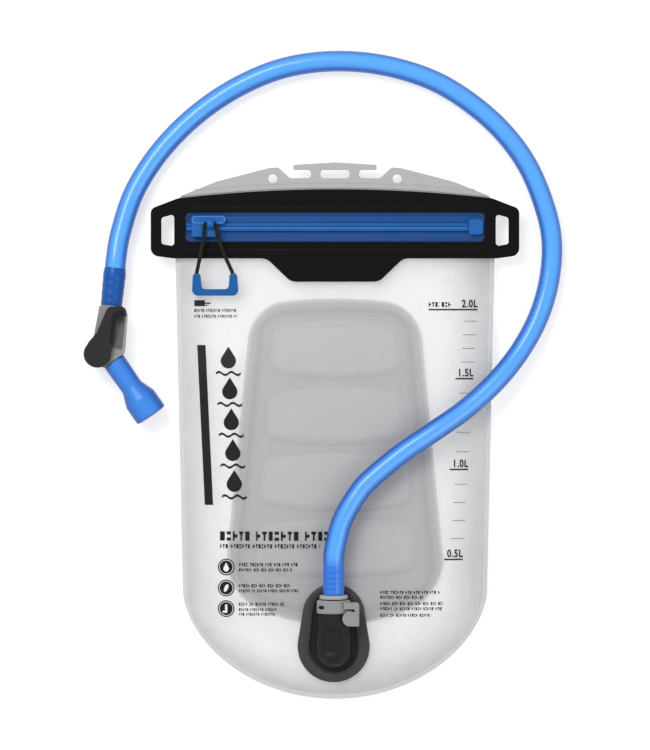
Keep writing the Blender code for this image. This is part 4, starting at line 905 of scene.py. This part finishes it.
# ---- zip ----
def make_zip():
    top = high("zip_tape_upper").z - 2.4
    bottom = low("zip_tape_upper").z
    for name, side in (("zip_tape_upper", 1), ("zip_tape_lower", -1)):
        inner = ZIP_Y + side * 0.02
        profile = [(0, 0), (11.7, 0), (11.7, 0.9), (4.2, 0.9), (3.1, 1.05), (2.75, 1.4),
                   (2.6, 2.4), (2.5, 2.9), (2.3, 3.2), (2, 3.3), (0.5, 3.3), (0.2, 3.15),
                   (0.05, 2.9), (0, 2.5)]
        rings = []
        for x, reach in ((-92, 0), (-89.6, 0), (-89.2, 0.85), (-89, 1), (79.7, 1),
                         (79.9, 0), (92, 0)):
            rings.append([(x, inner + side * across,
                           bottom + min(height, 0.9) + max(height - 0.9, 0) * reach)
                          for across, height in profile])
        finish_piece(f"{name}_extrusion", loft(rings), "tape", "bag", "zip", name)
    rail_top = bottom + 3.3
    for name, paint, y_low, y_high, height in (("zip_rail_face_upper", "rail", 0.35, 2.2, 0.05),
            ("zip_rail_face_lower", "rail", -2.2, -0.9, 0.05),
            ("zip_rail_line", "rim", -0.75, -0.25, 0.08)):
        face = prism(box_outline(-88.8, 79.6, ZIP_Y + y_low, ZIP_Y + y_high),
                     rail_top - 0.05, rail_top + height)
        finish_piece(name, face, paint, "bag", "zip")
    border = []
    for inset, height in ((-0.9, 0), (-0.9, 0.25), (0.4, 0.38), (1.6, 0.32), (2.4, 0)):
        outline = box_outline(-90 + inset, 90 - inset, ZIP_Y - (8.9 - inset), ZIP_Y + (8.9 - inset),
                              3.4 - inset * 0.4)
        border.append(at(outline, top + height))
    finish_piece("zip_window_weld", loft(border, closed=True), "border", "bag", "zip")
    make_dock()
    make_slider()


def make_dock():
    box_low = low("zip_end_dock")
    box_high = high("zip_end_dock")
    outline = box_outline(box_low.x, box_high.x, box_low.y, box_high.y, 1.6)
    shape = prism(outline, box_low.z, box_high.z)
    finish_piece("zip_end_dock_shell", shape, "zip", "bag", "zip", "zip_end_dock", bevel=0.7)


def make_slider():
    """Slider: lower body round the rails, thin plate on top and a bail with an eye."""
    box_low = low("zip_slider")
    bail = joint_point("pull_swing")
    roof = bail.z - 1.8
    left = box_low.x
    front = ZIP_Y - 5.9
    rear = front + 12.5
    for name, y_low, y_high in (("front", front, ZIP_Y - 3.05), ("rear", ZIP_Y + 3.05, rear)):
        shape = prism(box_outline(left, left + 15.6, y_low, y_high, 0.8), box_low.z, roof - 0.8)
        finish_piece(f"slider_cheek_{name}", shape, "zip", "slider", "zip", bevel=0.5)
    body = prism(box_outline(left, left + 15.6, front, rear, 1.6), roof - 2, roof)
    finish_piece("slider_body", body, "zip", "slider", "zip", "zip_slider", bevel=0.6)
    plate_low = rear - 4.9
    plate = prism(box_outline(left, left + 20.2, plate_low, rear, 2), roof - 1.4, roof + 0.5)
    finish_piece("slider_plate", plate, "zip", "slider", "zip", bevel=0.3)
    line = []
    for inset, height in ((0.15, -0.05), (0.15, 0.16), (0.5, 0.2), (0.75, -0.05)):
        outline = box_outline(left + inset, left + 20.2 - inset,
                              plate_low + inset, rear - inset, 2 - inset)
        line.append(at(outline, roof + 0.5 + height))
    finish_piece("slider_plate_rim", loft(line, closed=True), "rim", "slider", "zip")
    rings = []
    for step in range(25):
        angle = math.radians(-18 + 216 * step / 24)
        spoke = Vector((0, math.cos(angle), math.sin(angle)))
        middle = bail + Vector((0, 0, 0.1)) + spoke * 2.28
        rings.append([middle + spoke * 0.48 * cosine + Vector((2 * sine, 0, 0))
                      for cosine, sine in circle(12)])
    finish_piece("slider_bail", loft(rings), "zip", "slider", "zip")


def make_grip():
    box_low = low("pull_grip")
    box_high = high("pull_grip")
    left = box_low.x
    right = box_high.x
    foot = box_low.y
    top = box_high.y
    outline = rounded([(left, foot, 3.4), (right, foot, 3.4), (right - 0.8, top, 0.8),
        (right - 5.2, top, 0.8), (right - 6, foot + 3.8, 2.2),
        (left + 6, foot + 3.8, 2.2), (left + 5.2, top, 0.8), (left + 0.8, top, 0.8)], 10)
    shape = prism(outline, box_low.z, box_low.z + 5)
    for corner in shape.verts:
        corner.co.z += (corner.co.y - foot) * 0.30
    finish_piece("pull_grip_moulding", shape, "grip", "pull", "grip", "pull_grip", bevel=1.3,
                 segments=6)
    for name, side, x in (("left", 1, left + 3.2), ("right", -1, right - 3.2)):
        collar = turned([(1.2, -1.4), (1.95, -1.2), (1.9, 0.3), (1.5, 0.7), (1.2, 0.7)],
                        (x, top, 16), (0.13 * side, 1, 0.05), 24, closed=True)
        finish_piece(f"grip_collar_{name}", collar, "grip", "pull", "grip")


# ---- port and elbow ----
AXIS_Z = 22


def oval(half_width, half_height, y):
    """Elliptical section across the link's axis."""
    return [(LINK_X + half_width * cosine, y, AXIS_Z + half_height * sine)
            for cosine, sine in circle(64)]


def pocket(top_radius, z):
    """Ring of the recess in the flange."""
    return egg(top_radius, -107.5, top_radius + 2.5, -129.9, z)


def well(radius, z):
    """Ring round the elbow's spigot."""
    return egg(radius, -126.9, radius, -127.1, z)


def make_flange():
    base = low("port_flange").z
    top = high("port_flange").z
    floor = top - 1.7
    rings = [egg(radius, FLANGE_TOP[1], radius + 3, FLANGE_LOW[1], z) for radius, z in (
        (18.2, base), (18.6, base + 0.4), (18.6, top - 1.1), (18.3, top - 0.5),
        (17.6, top - 0.15), (16.6, top))]
    rings += [pocket(radius, z) for radius, z in (
        (13.6, top), (12.9, top - 0.1), (12.5, top - 0.45), (12.2, top - 0.9),
        (12, floor + 0.35), (11.5, floor + 0.05), (10.9, floor))]
    rings += [well(6.7, floor), well(6.7, base)]
    finish_piece("port_flange_moulding", loft(rings, closed=True), "port", "bag", "port",
                 "port_flange")
    lip = [pocket(12.9 - d, top + h) for d, h in ((0, -0.15), (0, 0.12), (0.35, 0.2), (0.75, -0.4))]
    finish_piece("port_pocket_lip", loft(lip, closed=True), "port", "bag", "port")
    plate = [pocket(11.6 - d, floor + h) for d, h in ((0, -0.1), (0, 0.12), (0.6, 0.2))]
    plate += [well(6.6, floor + 0.2), well(6.6, floor - 0.1)]
    finish_piece("port_pocket_floor", loft(plate, closed=True), "elbow", "bag", "port")


def recess(x, y):
    """Depth of the thumb recess in the elbow's top."""
    share = (y + 134) / 18.5
    half = (4.6 + 1.9 * (1 - min(1, max(0, share))))
    across = abs(x - LINK_X) / half
    if share > 1 or share < 0:
        return 0
    end = smooth_step((1 - share) / 0.22) * smooth_step(share / 0.14)
    return 1.25 * end * (1 - smooth_step((across - 0.72) / 0.28))


def make_elbow():
    """Elbow with a socket bore in its face, a thumb recess and grip ridges on its nose."""
    face = high("port_elbow").y
    rings = [oval(4.1, 4.1, face - 11), oval(4.1, 4.1, face - 9.5),
             oval(4.9, 4.9, face - 9.5), oval(4.9, 4.9, face - 0.3),
             oval(5.2, 5.2, face), oval(8.7, 5.6, face),
             oval(9.2, 6, face - 0.3), oval(9.4, 6.2, face - 0.9)]
    straight = 21.9
    for step in range(1, 36):
        rings.append(oval(9.4, 6.2, face - 0.9 - (straight - 0.9) * step / 35))
    for degrees in range(4, 89, 4):
        shrink = math.cos(math.radians(degrees))
        rings.append(oval(9.4 * shrink, 6.2 * shrink,
                          face - straight - 9.4 * math.sin(math.radians(degrees))))
    carved = rings[:8]
    for ring in rings[8:]:
        line = []
        for x, y, z in ring:
            up = max(0, (z - AXIS_Z) / 6.2)
            lowered = recess(x, y) * smooth_step(up * 2)
            ridge = 0.22 * max(0, math.cos((y + 137) / 0.55))
            nose = smooth_step((-134 - y) / 1.5) * smooth_step(up * 2)
            line.append((x, y, z - lowered - ridge * nose))
        carved.append(line)
    shape = loft(carved)
    spigot = turned([(0, 0), (6, 0), (6.4, 0.4), (6.4, 13), (0, 13)], (LINK_X, -127, 7), UP)
    add_shape(shape, spigot)
    finish_piece("port_elbow_moulding", shape, "elbow", "bag", "port", "port_elbow", sharp=50)
    # thin bead round the elbow's outline, painted paler than the elbow as the highlight along its
    # rim
    rim = []
    for step in range(180):
        angle = math.radians(-90 + 2 * step)
        y = face - straight
        if math.sin(angle) < 0:
            centre_y = y + 9.4 * math.sin(angle)
        else:
            centre_y = y + (straight - 1.2) * math.sin(angle) ** 0.5
        rim.append(Vector((LINK_X + 9.45 * math.cos(angle), centre_y, AXIS_Z)))
    rings = []
    count = len(rim)
    for index, point in enumerate(rim):
        along = rim[(index + 1) % count] - rim[index - 1]
        along.normalize()
        outward = Vector((along.y, -along.x, 0))
        rings.append([point + outward * 0.32 * cosine + UP * 0.32 * sine
                      for cosine, sine in circle(8)])
    finish_piece("elbow_rim_highlight", loft(rings, closed=True), "port", "bag", "port")


# ---- quick link ----
def hollow_oval(half_width, half_height, y_low, length, bore, rim):
    """Oval block with rounded rims and a round bore."""
    edge = [(rim, 0)]
    for degrees in (22.5, 45, 67.5, 90):
        angle = math.radians(degrees)
        edge.append((rim * (1 - math.sin(angle)), rim * (1 - math.cos(angle))))
    rings = [(inset, y_low + lift) for inset, lift in edge]
    for step in range(1, 12):
        rings.append((0, y_low + rim + (length - 2 * rim) * step / 12))
    rings += [(inset, y_low + length - lift) for inset, lift in reversed(edge)]
    block = [oval(half_width - inset, half_height - inset, y) for inset, y in rings]
    return loft([oval(bore, bore, y_low), *block, oval(bore, bore, y_low + length)], closed=True)


def make_link():
    collar_low = low("link_collar").y
    ring_low = low("link_ring").y
    collar = hollow_oval(10.1, 6.4, collar_low, 8.1, 4.9, 0.9)
    finish_piece("link_collar_moulding", collar, "link", "hose_set", "link", "link_collar")
    ring = hollow_oval(8.5, 6.4, ring_low, 2.7, 4.9, 0.9)
    finish_piece("link_ring_moulding", ring, "ring", "hose_set", "link", "link_ring")
    # dark ring painted into the gap between link ring and collar as the shadow in that groove
    shadow = hollow_oval(8.1, 6.1, ring_low - 0.55, 0.8, 4.9, 0.2)
    finish_piece("link_ring_groove_shadow", shadow, "dark", "hose_set", "link")
    dimple = []
    for scale, sink in ((1, 0.5), (1, 0.12), (0.8, 0.05), (0.62, -0.05)):
        loop = []
        for cosine, sine in circle(40):
            x = -8.1 + 1.75 * scale * cosine
            y = collar_low + 3.9 + 1.15 * scale * sine
            share = min(0.999, abs(x - LINK_X) / 10.1)
            z = AXIS_Z + 6.4 * math.sqrt(1 - share * share)
            out = Vector(((x - LINK_X) / 10.1 ** 2, 0, (z - AXIS_Z) / 6.4 ** 2)).normalized()
            loop.append(Vector((x, y, z)) + out * (0.1 - sink * 0.4))
        dimple.append(loop)
    finish_piece("collar_latch_window", loft(dimple), "dark", "hose_set", "link")
    make_button()


def make_button():
    """L-shaped release tab: flat arm, round lobe and an outer wall that hangs down."""
    base = high("release_button").z - 2.2
    top = high("release_button").z
    outer = high("release_button").x
    inner = low("release_button").x
    head = high("release_button").y
    foot = low("release_button").y
    notch = head - 4.6
    corner = rounded([(inner + 3.9, head, 0), (outer, head, 1.9),
                      (outer, foot, 0.8), (outer - 3, foot, 0)], 12)
    lobe = arc(inner + 4.3, foot + 4.4, 4.3, 270, 115, 20)
    inner += 0.9
    arm = [(inner + 1.3, notch - 0.5), (outer - 4.2, notch - 0.7),
           (outer - 2.9, notch - 1.3), (outer - 2.5, notch - 1.1),
           (outer - 2.9, notch + 0.4), (outer - 3.8, notch + 0.6),
           (inner + 0.4, notch + 0.6), (inner, notch + 1), (inner, head - 0.5), (inner + 0.5, head)]
    outline = corner + lobe + arm
    shape = prism(outline, base, top)
    finish_piece("release_tab", shape, "link", "button", "link", "release_button", bevel=0.45)
    wall = prism(box_outline(outer - 1.9, outer, foot + 0.6, head - 1.6, 0.6),
                 low("release_button").z, base + 1)
    finish_piece("release_tab_wall", wall, "link", "button", "link", bevel=0.35)


# ---- valve and mouthpiece ----
VALVE_Z = 10.1
BOSS = Vector((-142, 46, 10.1))
OUTLET = Vector((-132.8, 41.7, 10.1))
OUTLET_DIRECTION = Vector((0.57, -0.82, 0)).normalized()
INLET = Vector((-134.3, 75.2, 10.1))
INLET_DIRECTION = Vector((0.099, 0.995, 0)).normalized()


def make_valve():
    body_low = low("valve_body").z
    body_top = high("valve_body").z
    outline = [(-141, 75), (-144.4, 56.3)]
    outline += arc(BOSS.x, BOSS.y, 7.4, 150, 285, 30)
    outline += [(-138.6, 37.9), (-127.3, 45.8), (-126.4, 48.5), (-124.9, 70), (-127.7, 74.2)]
    shape = prism(outline, body_low, body_top)
    finish_piece("valve_body_moulding", shape, "valve", "hose_set", "valve", "valve_body",
                 bevel=1.4, segments=5)
    facet = rounded([(-133.4, 50, 0.6), (-127.6, 48.6, 0.8), (-126.1, 62, 3), (-125.8, 67.6, 0.8),
        (-128.8, 65.6, 2)], 12)
    facet = prism(facet, body_top - 0.2, body_top + 0.35)
    finish_piece("valve_facet", facet, "facet", "hose_set", "valve", bevel=0.3)
    spigot = turned([(0, -3), (4.6, -3), (4.6, 14), (4.1, 14.5), (2.9, 14.5), (2.9, 10),
                     (0, 10)], OUTLET, OUTLET_DIRECTION)
    finish_piece("valve_outlet_spigot", spigot, "valve", "hose_set", "valve")
    rim = turned([(6.2, -1.6), (7.25, -1.4), (7.45, -0.7),
                  (7.3, 0), (6.2, 0)], OUTLET, OUTLET_DIRECTION, closed=True)
    for corner in rim.verts:
        corner.co.z = VALVE_Z + max(-6.15, min(6.15, corner.co.z - VALVE_Z))
    finish_piece("valve_outlet_rim", rim, "valve", "hose_set", "valve")
    collar = turned([(4.2, -1.2), (6.1, -1.2), (6.25, -0.6),
                     (6.1, 0), (4.2, 0)], INLET, INLET_DIRECTION, closed=True)
    finish_piece("valve_inlet_rim", collar, "valve", "hose_set", "valve")


def make_lever():
    """Lever with a round boss and a flat arm; a dark band painted on the arm's face stands in for
    the shaded slope beside a raised spine.
    """
    base = low("shutoff_lever").z
    top = high("shutoff_lever").z
    outline = arc(BOSS.x, BOSS.y, 8.1, 140, 365, 60)
    outline += rounded([(-133.2, 50, 0), (-130.2, 65, 5), (-124.6, 68.6, 1.5), (-124.6, 74.8, 3.8),
        (-135.6, 74.2, 4), (-142.4, 58.5, 4.5), (-147, 53.4, 0)], 8)
    finish_piece("lever_moulding", prism(outline, base, top), "lever", "lever", "lever",
                 "shutoff_lever", bevel=1.1, segments=5)
    # painted shade: dark band on the lever arm, standing in for the shaded slope of its spine
    side = rounded([(-134.6, 50.6, 0.8), (-133.4, 52, 0.8), (-131, 65.4, 4.5), (-125.8, 69.6, 0.8),
        (-126.4, 72.8, 1.2), (-133, 70.6, 4)], 8)
    finish_piece("lever_spine_shade", prism(side, top - 0.3, top + 0.06), "dark",
                 "lever", "lever", bevel=0.04)


def make_mouthpiece():
    """Soft bite valve with a slit across its slightly domed tip."""
    base = OUTLET + OUTLET_DIRECTION * 0.3
    profile = [(4.9, 0), (6.7, 0), (6.95, 0.35), (6.85, 6), (6.7, 13), (6.6, 18.6),
               (9.6, 26.2), (9.9, 27.1), (10, 28.2), (10, 32), (10, 38), (9.8, 38.7),
               (9.3, 39.15), (7, 39.5), (4, 39.65), (0, 39.7), (0, 37.9), (8.2, 37.9),
               (8.2, 27.5), (4.9, 18)]
    shape = turned(profile, base, OUTLET_DIRECTION, 72, closed=True)
    finish_piece("bite_valve", shape, "mouth", "hose_set", "mouth", "mouthpiece", sharp=14)
    tip = base + OUTLET_DIRECTION * 39.6
    slit = []
    for step in range(13):
        z = (-4.5 + 0.75 * step)
        half = 0.22 * math.sqrt(max(0.02, 1 - (z / 4.7) ** 2))
        side = Vector((-OUTLET_DIRECTION.y, OUTLET_DIRECTION.x, 0))
        place = tip + UP * z
        slit.append([place - side * half - OUTLET_DIRECTION * 0.5,
                     place + side * half - OUTLET_DIRECTION * 0.5,
                     place + side * half + OUTLET_DIRECTION * 0.12,
                     place - side * half + OUTLET_DIRECTION * 0.12])
    finish_piece("bite_valve_slit", loft(slit), "dark", "hose_set", "mouth")


# ---- printing ----
INK = 0.09


def drape(shape):
    """Lay flat ink, drawn at z = 0 and above, on the front film."""
    for corner in shape.verts:
        corner.co.z += film_top(corner.co.x, corner.co.y) + 0.03
    return shape


def ink_section(x, y_low, y_high):
    return [(x, y_low, 0), (x, y_high, 0), (x, y_high, INK), (x, y_low, INK)]


def bar(x_left, x_right, y_low, y_high, shape):
    """Thin ink block, cut along its length so that it can follow the film."""
    pieces = max(1, round((x_right - x_left) / 5))
    return loft([ink_section(x_left + (x_right - x_left) * step / pieces, y_low, y_high)
                 for step in range(pieces + 1)], shape=shape)


# Blocks that stand for letters, as shares of a letter's width and height.
BLOCKS = (
    ((0, 1, 0, 1),),
    ((0, 1, 0, 0.34), (0, 1, 0.66, 1)),
    ((0, 0.38, 0, 1), (0.38, 1, 0.33, 0.67)),
    ((0, 1, 0.7, 1), (0.3, 0.7, 0, 0.7)),
)


def greeked(shape, x_left, x_right, y_low, y_high, seed):
    """Stand-in for a line of print: rows of small blocks with word gaps."""
    height = y_high - y_low
    x = x_left
    number = seed
    letters = 3 + seed % 5
    while x < x_right:
        width = height * (0.42 + 0.10 * ((number * 7) % 5) / 4)
        end = min(x + width, x_right)
        if letters > 0:
            for left, right, foot, head in BLOCKS[(number * 5 + seed) % 4]:
                bar(x + left * (end - x), x + right * (end - x), y_low + foot * height,
                    y_low + head * height, shape)
            x += width + 0.22 * height
            letters -= 1
        else:
            x += 0.5 * height
            letters = 2 + (number * 3 + seed) % 6
        number += 1


def numeral(text, right, base, height):
    """Scale figures as flat ink, right-aligned."""
    curve = bpy.data.curves.new("figures", "FONT")
    curve.body = text
    curve.size = height * 1.42
    curve.space_character = 1.12
    curve.align_x = "RIGHT"
    curve.offset = 0.045 * height
    curve.resolution_u = 4
    thing = bpy.data.objects.new("figures", curve)
    bpy.context.collection.objects.link(thing)
    bpy.context.view_layer.update()
    mesh = bpy.data.meshes.new_from_object(thing.evaluated_get(
        bpy.context.evaluated_depsgraph_get()))
    bpy.data.objects.remove(thing)
    shape = bmesh.new()
    shape.from_mesh(mesh)
    bpy.data.meshes.remove(mesh)
    bmesh.ops.remove_doubles(shape, verts=shape.verts, dist=height * 0.0005)
    bmesh.ops.dissolve_limit(shape, angle_limit=0.01, verts=shape.verts, edges=shape.edges)
    thicken(shape, INK)
    for corner in shape.verts:
        corner.co.x = right + corner.co.x * 0.80
        corner.co.y += base
    bmesh.ops.triangulate(shape, faces=shape.faces[:])
    return shape


def disc(shape, x, y, radius, inner=0):
    """Flat ink disc, or a ring where inner is given."""
    steps = [(radius, 0), (radius, INK)]
    if inner > 0:
        steps += [(inner, INK), (inner, 0)]
    rings = [[(x + reach * cosine, y + reach * sine, z) for cosine, sine in circle(48)]
             for reach, z in steps]
    return loft(rings, closed=inner > 0, shape=shape)


def flat_shape(shape, points):
    """Flat ink patch over an outline."""
    return loft([at(points, 0), at(points, INK)], shape=shape)


def make_scale():
    shape = bmesh.new()
    for number, (y, left, right) in enumerate(((72.8, 56.2, 85.7), (31.3, 72.3, 83.1),
                                               (-23.2, 68.9, 80), (-77.2, 65.6, 76.7))):
        bar(left, right, y - 0.45, y + 0.45, shape)
        add_shape(shape, numeral(f"{2 - 0.5 * number:.1f}L", right, y + 1.5, 4.4))
    for y, right in ((65.9, 85.3), (57.7, 84.7), (49.5, 84.1), (41.3, 83.6), (22.6, 82.4),
                     (11, 81.7), (-0.9, 81), (-12.6, 80.5), (-32.1, 79.4), (-43, 78.8),
                     (-53.8, 78.1), (-64.7, 77.4)):
        bar(right - 7.7, right, y - 0.13, y + 0.13, shape)
    greeked(shape, 56.4, 62.6, 74.4, 77.3, 3)
    greeked(shape, 64.2, 69.6, 74.4, 77.3, 4)
    finish_piece("ink_scale", drape(shape), "ink", "bag", "film")


def make_lines():
    """Blocks of print, as illegible rows."""
    shape = bmesh.new()
    rows = ((-69, -3, -65.8, -60.3, 2), (-69, -9, -70.4, -67.9, 5),
        (-57.6, -22.3, -81.2, -79.2, 1), (-57.6, -26, -84.2, -82.5, 4),
        (-57.6, -26.6, -93.8, -91.9, 7), (-57.6, -22.2, -96.8, -95.1, 3),
        (-57.6, -30.2, -104.9, -103, 6), (-57.6, -35.2, -108.1, -106.4, 2),
        (-57.6, -35.8, -110.9, -109.2, 5), (27.2, 62.8, -97.8, -95.9, 1),
        (27.2, 53.3, -100.7, -98.9, 4), (27.2, 64.7, -104.5, -102.7, 7),
        (27.2, 64.3, -107.6, -105.8, 3), (27.2, 58.1, -111.5, -109.7, 6),
        (-84.6, -59.4, 71.4, 73.2, 2), (-84.6, -59, 67.9, 69.7, 5))
    for x_left, x_right, y_low, y_high, seed in rows:
        greeked(shape, x_left, x_right, y_low, y_high, seed)
    bar(-84.6, -78.2, 74.9, 78.5, shape)
    bar(-78.2, -74.6, 76.3, 77.1, shape)
    bar(-78.2, -76, 75.2, 75.7, shape)
    finish_piece("ink_print_rows", drape(shape), "ink", "bag", "film")


def make_icons():
    """Round badges with a plain droplet, leaf and hook, each in a white ring."""
    black = bmesh.new()
    white = bmesh.new()
    for y in (-81.7, -94.3, -106.7):
        disc(black, -65.3, y, 5)
        disc(white, -65.3, y, 4.3, 3.95)
    drape(black)
    flat_shape(white, [(-65.3, -79)] + arc(-65.3, -82.7, 1.7, 35, -215, 16))
    flat_shape(white, [(-65.3 + 1.15 * cosine + 0.8 * sine, -94.3 + 2.3 * sine)
                       for cosine, sine in circle(24)])
    for x_left, x_right, y_low, y_high in ((-66, -64.6, -109.2, -104.2),
                                           (-67.4, -66, -109.2, -107.9)):
        bar(x_left, x_right, y_low, y_high, white)
    drape(white)
    for corner in white.verts:
        corner.co.z += INK
    finish_piece("ink_badges", black, "ink", "bag", "film")
    finish_piece("ink_badge_marks", white, "white_ink", "bag", "film")


def make_emblem():
    """Plain decorative column: a slanted bar beside stacked droplets and waves."""
    shape = bmesh.new()
    rings = []
    for step in range(25):
        share = step / 24
        y = 51.5 - 96 * share
        x = -82.8 + 4.6 * share
        rings.append([(x, y, 0), ((x + 5), y, 0), ((x + 5), y, INK), (x, y, INK)])
    loft(rings, shape=shape)
    for number in range(5):
        y = 42 - 18.5 * number
        x = -64 + 0.9 * number
        flat_shape(shape, [(x, y + 8.6)] + arc(x, y, 4.6, 32, -212, 24))
        rings = []
        for step in range(25):
            along = x - 7.5 + 15 * step / 24
            wave = y - 7.6 + 0.9 * math.sin(TURN * step / 12)
            rings.append(ink_section(along, wave - 0.7, wave + 0.7))
        loft(rings, shape=shape)
    finish_piece("ink_emblem", drape(shape), "ink", "bag", "film")


# ---- carried-over parts ----
def paint_inner_parts():
    """Procedural finishes for the parts kept from the frame."""
    chosen = {"port_gasket": "seal", "port_backing_ring": "port", "port_poppet": "link",
        "poppet_spring": "steel", "link_barb": "link", "link_o_ring": "seal",
        "button_spring": "steel", "valve_spool": "link", "spool_o_ring": "seal",}
    for node, paint in chosen.items():
        for slot in bpy.data.objects[node].material_slots:
            slot.material = PAINTS[paint]


def main():
    add_camera()
    make_paints()
    hose, path, cuff, pull, pull_path = make_cords()
    add_floor()
    add_lights()
    for make in (make_films, make_panel, make_hanger, make_band, make_zip, make_grip,
                 make_flange, make_elbow, make_link, make_valve, make_lever, make_mouthpiece,
                 make_scale, make_lines, make_icons, make_emblem, paint_inner_parts):
        make()
    declare_cords(path, pull_path)


def declare_cords(path, pull_path):
    path = [point * MM for point in path]
    pull_path = [point * MM for point in pull_path]


main()
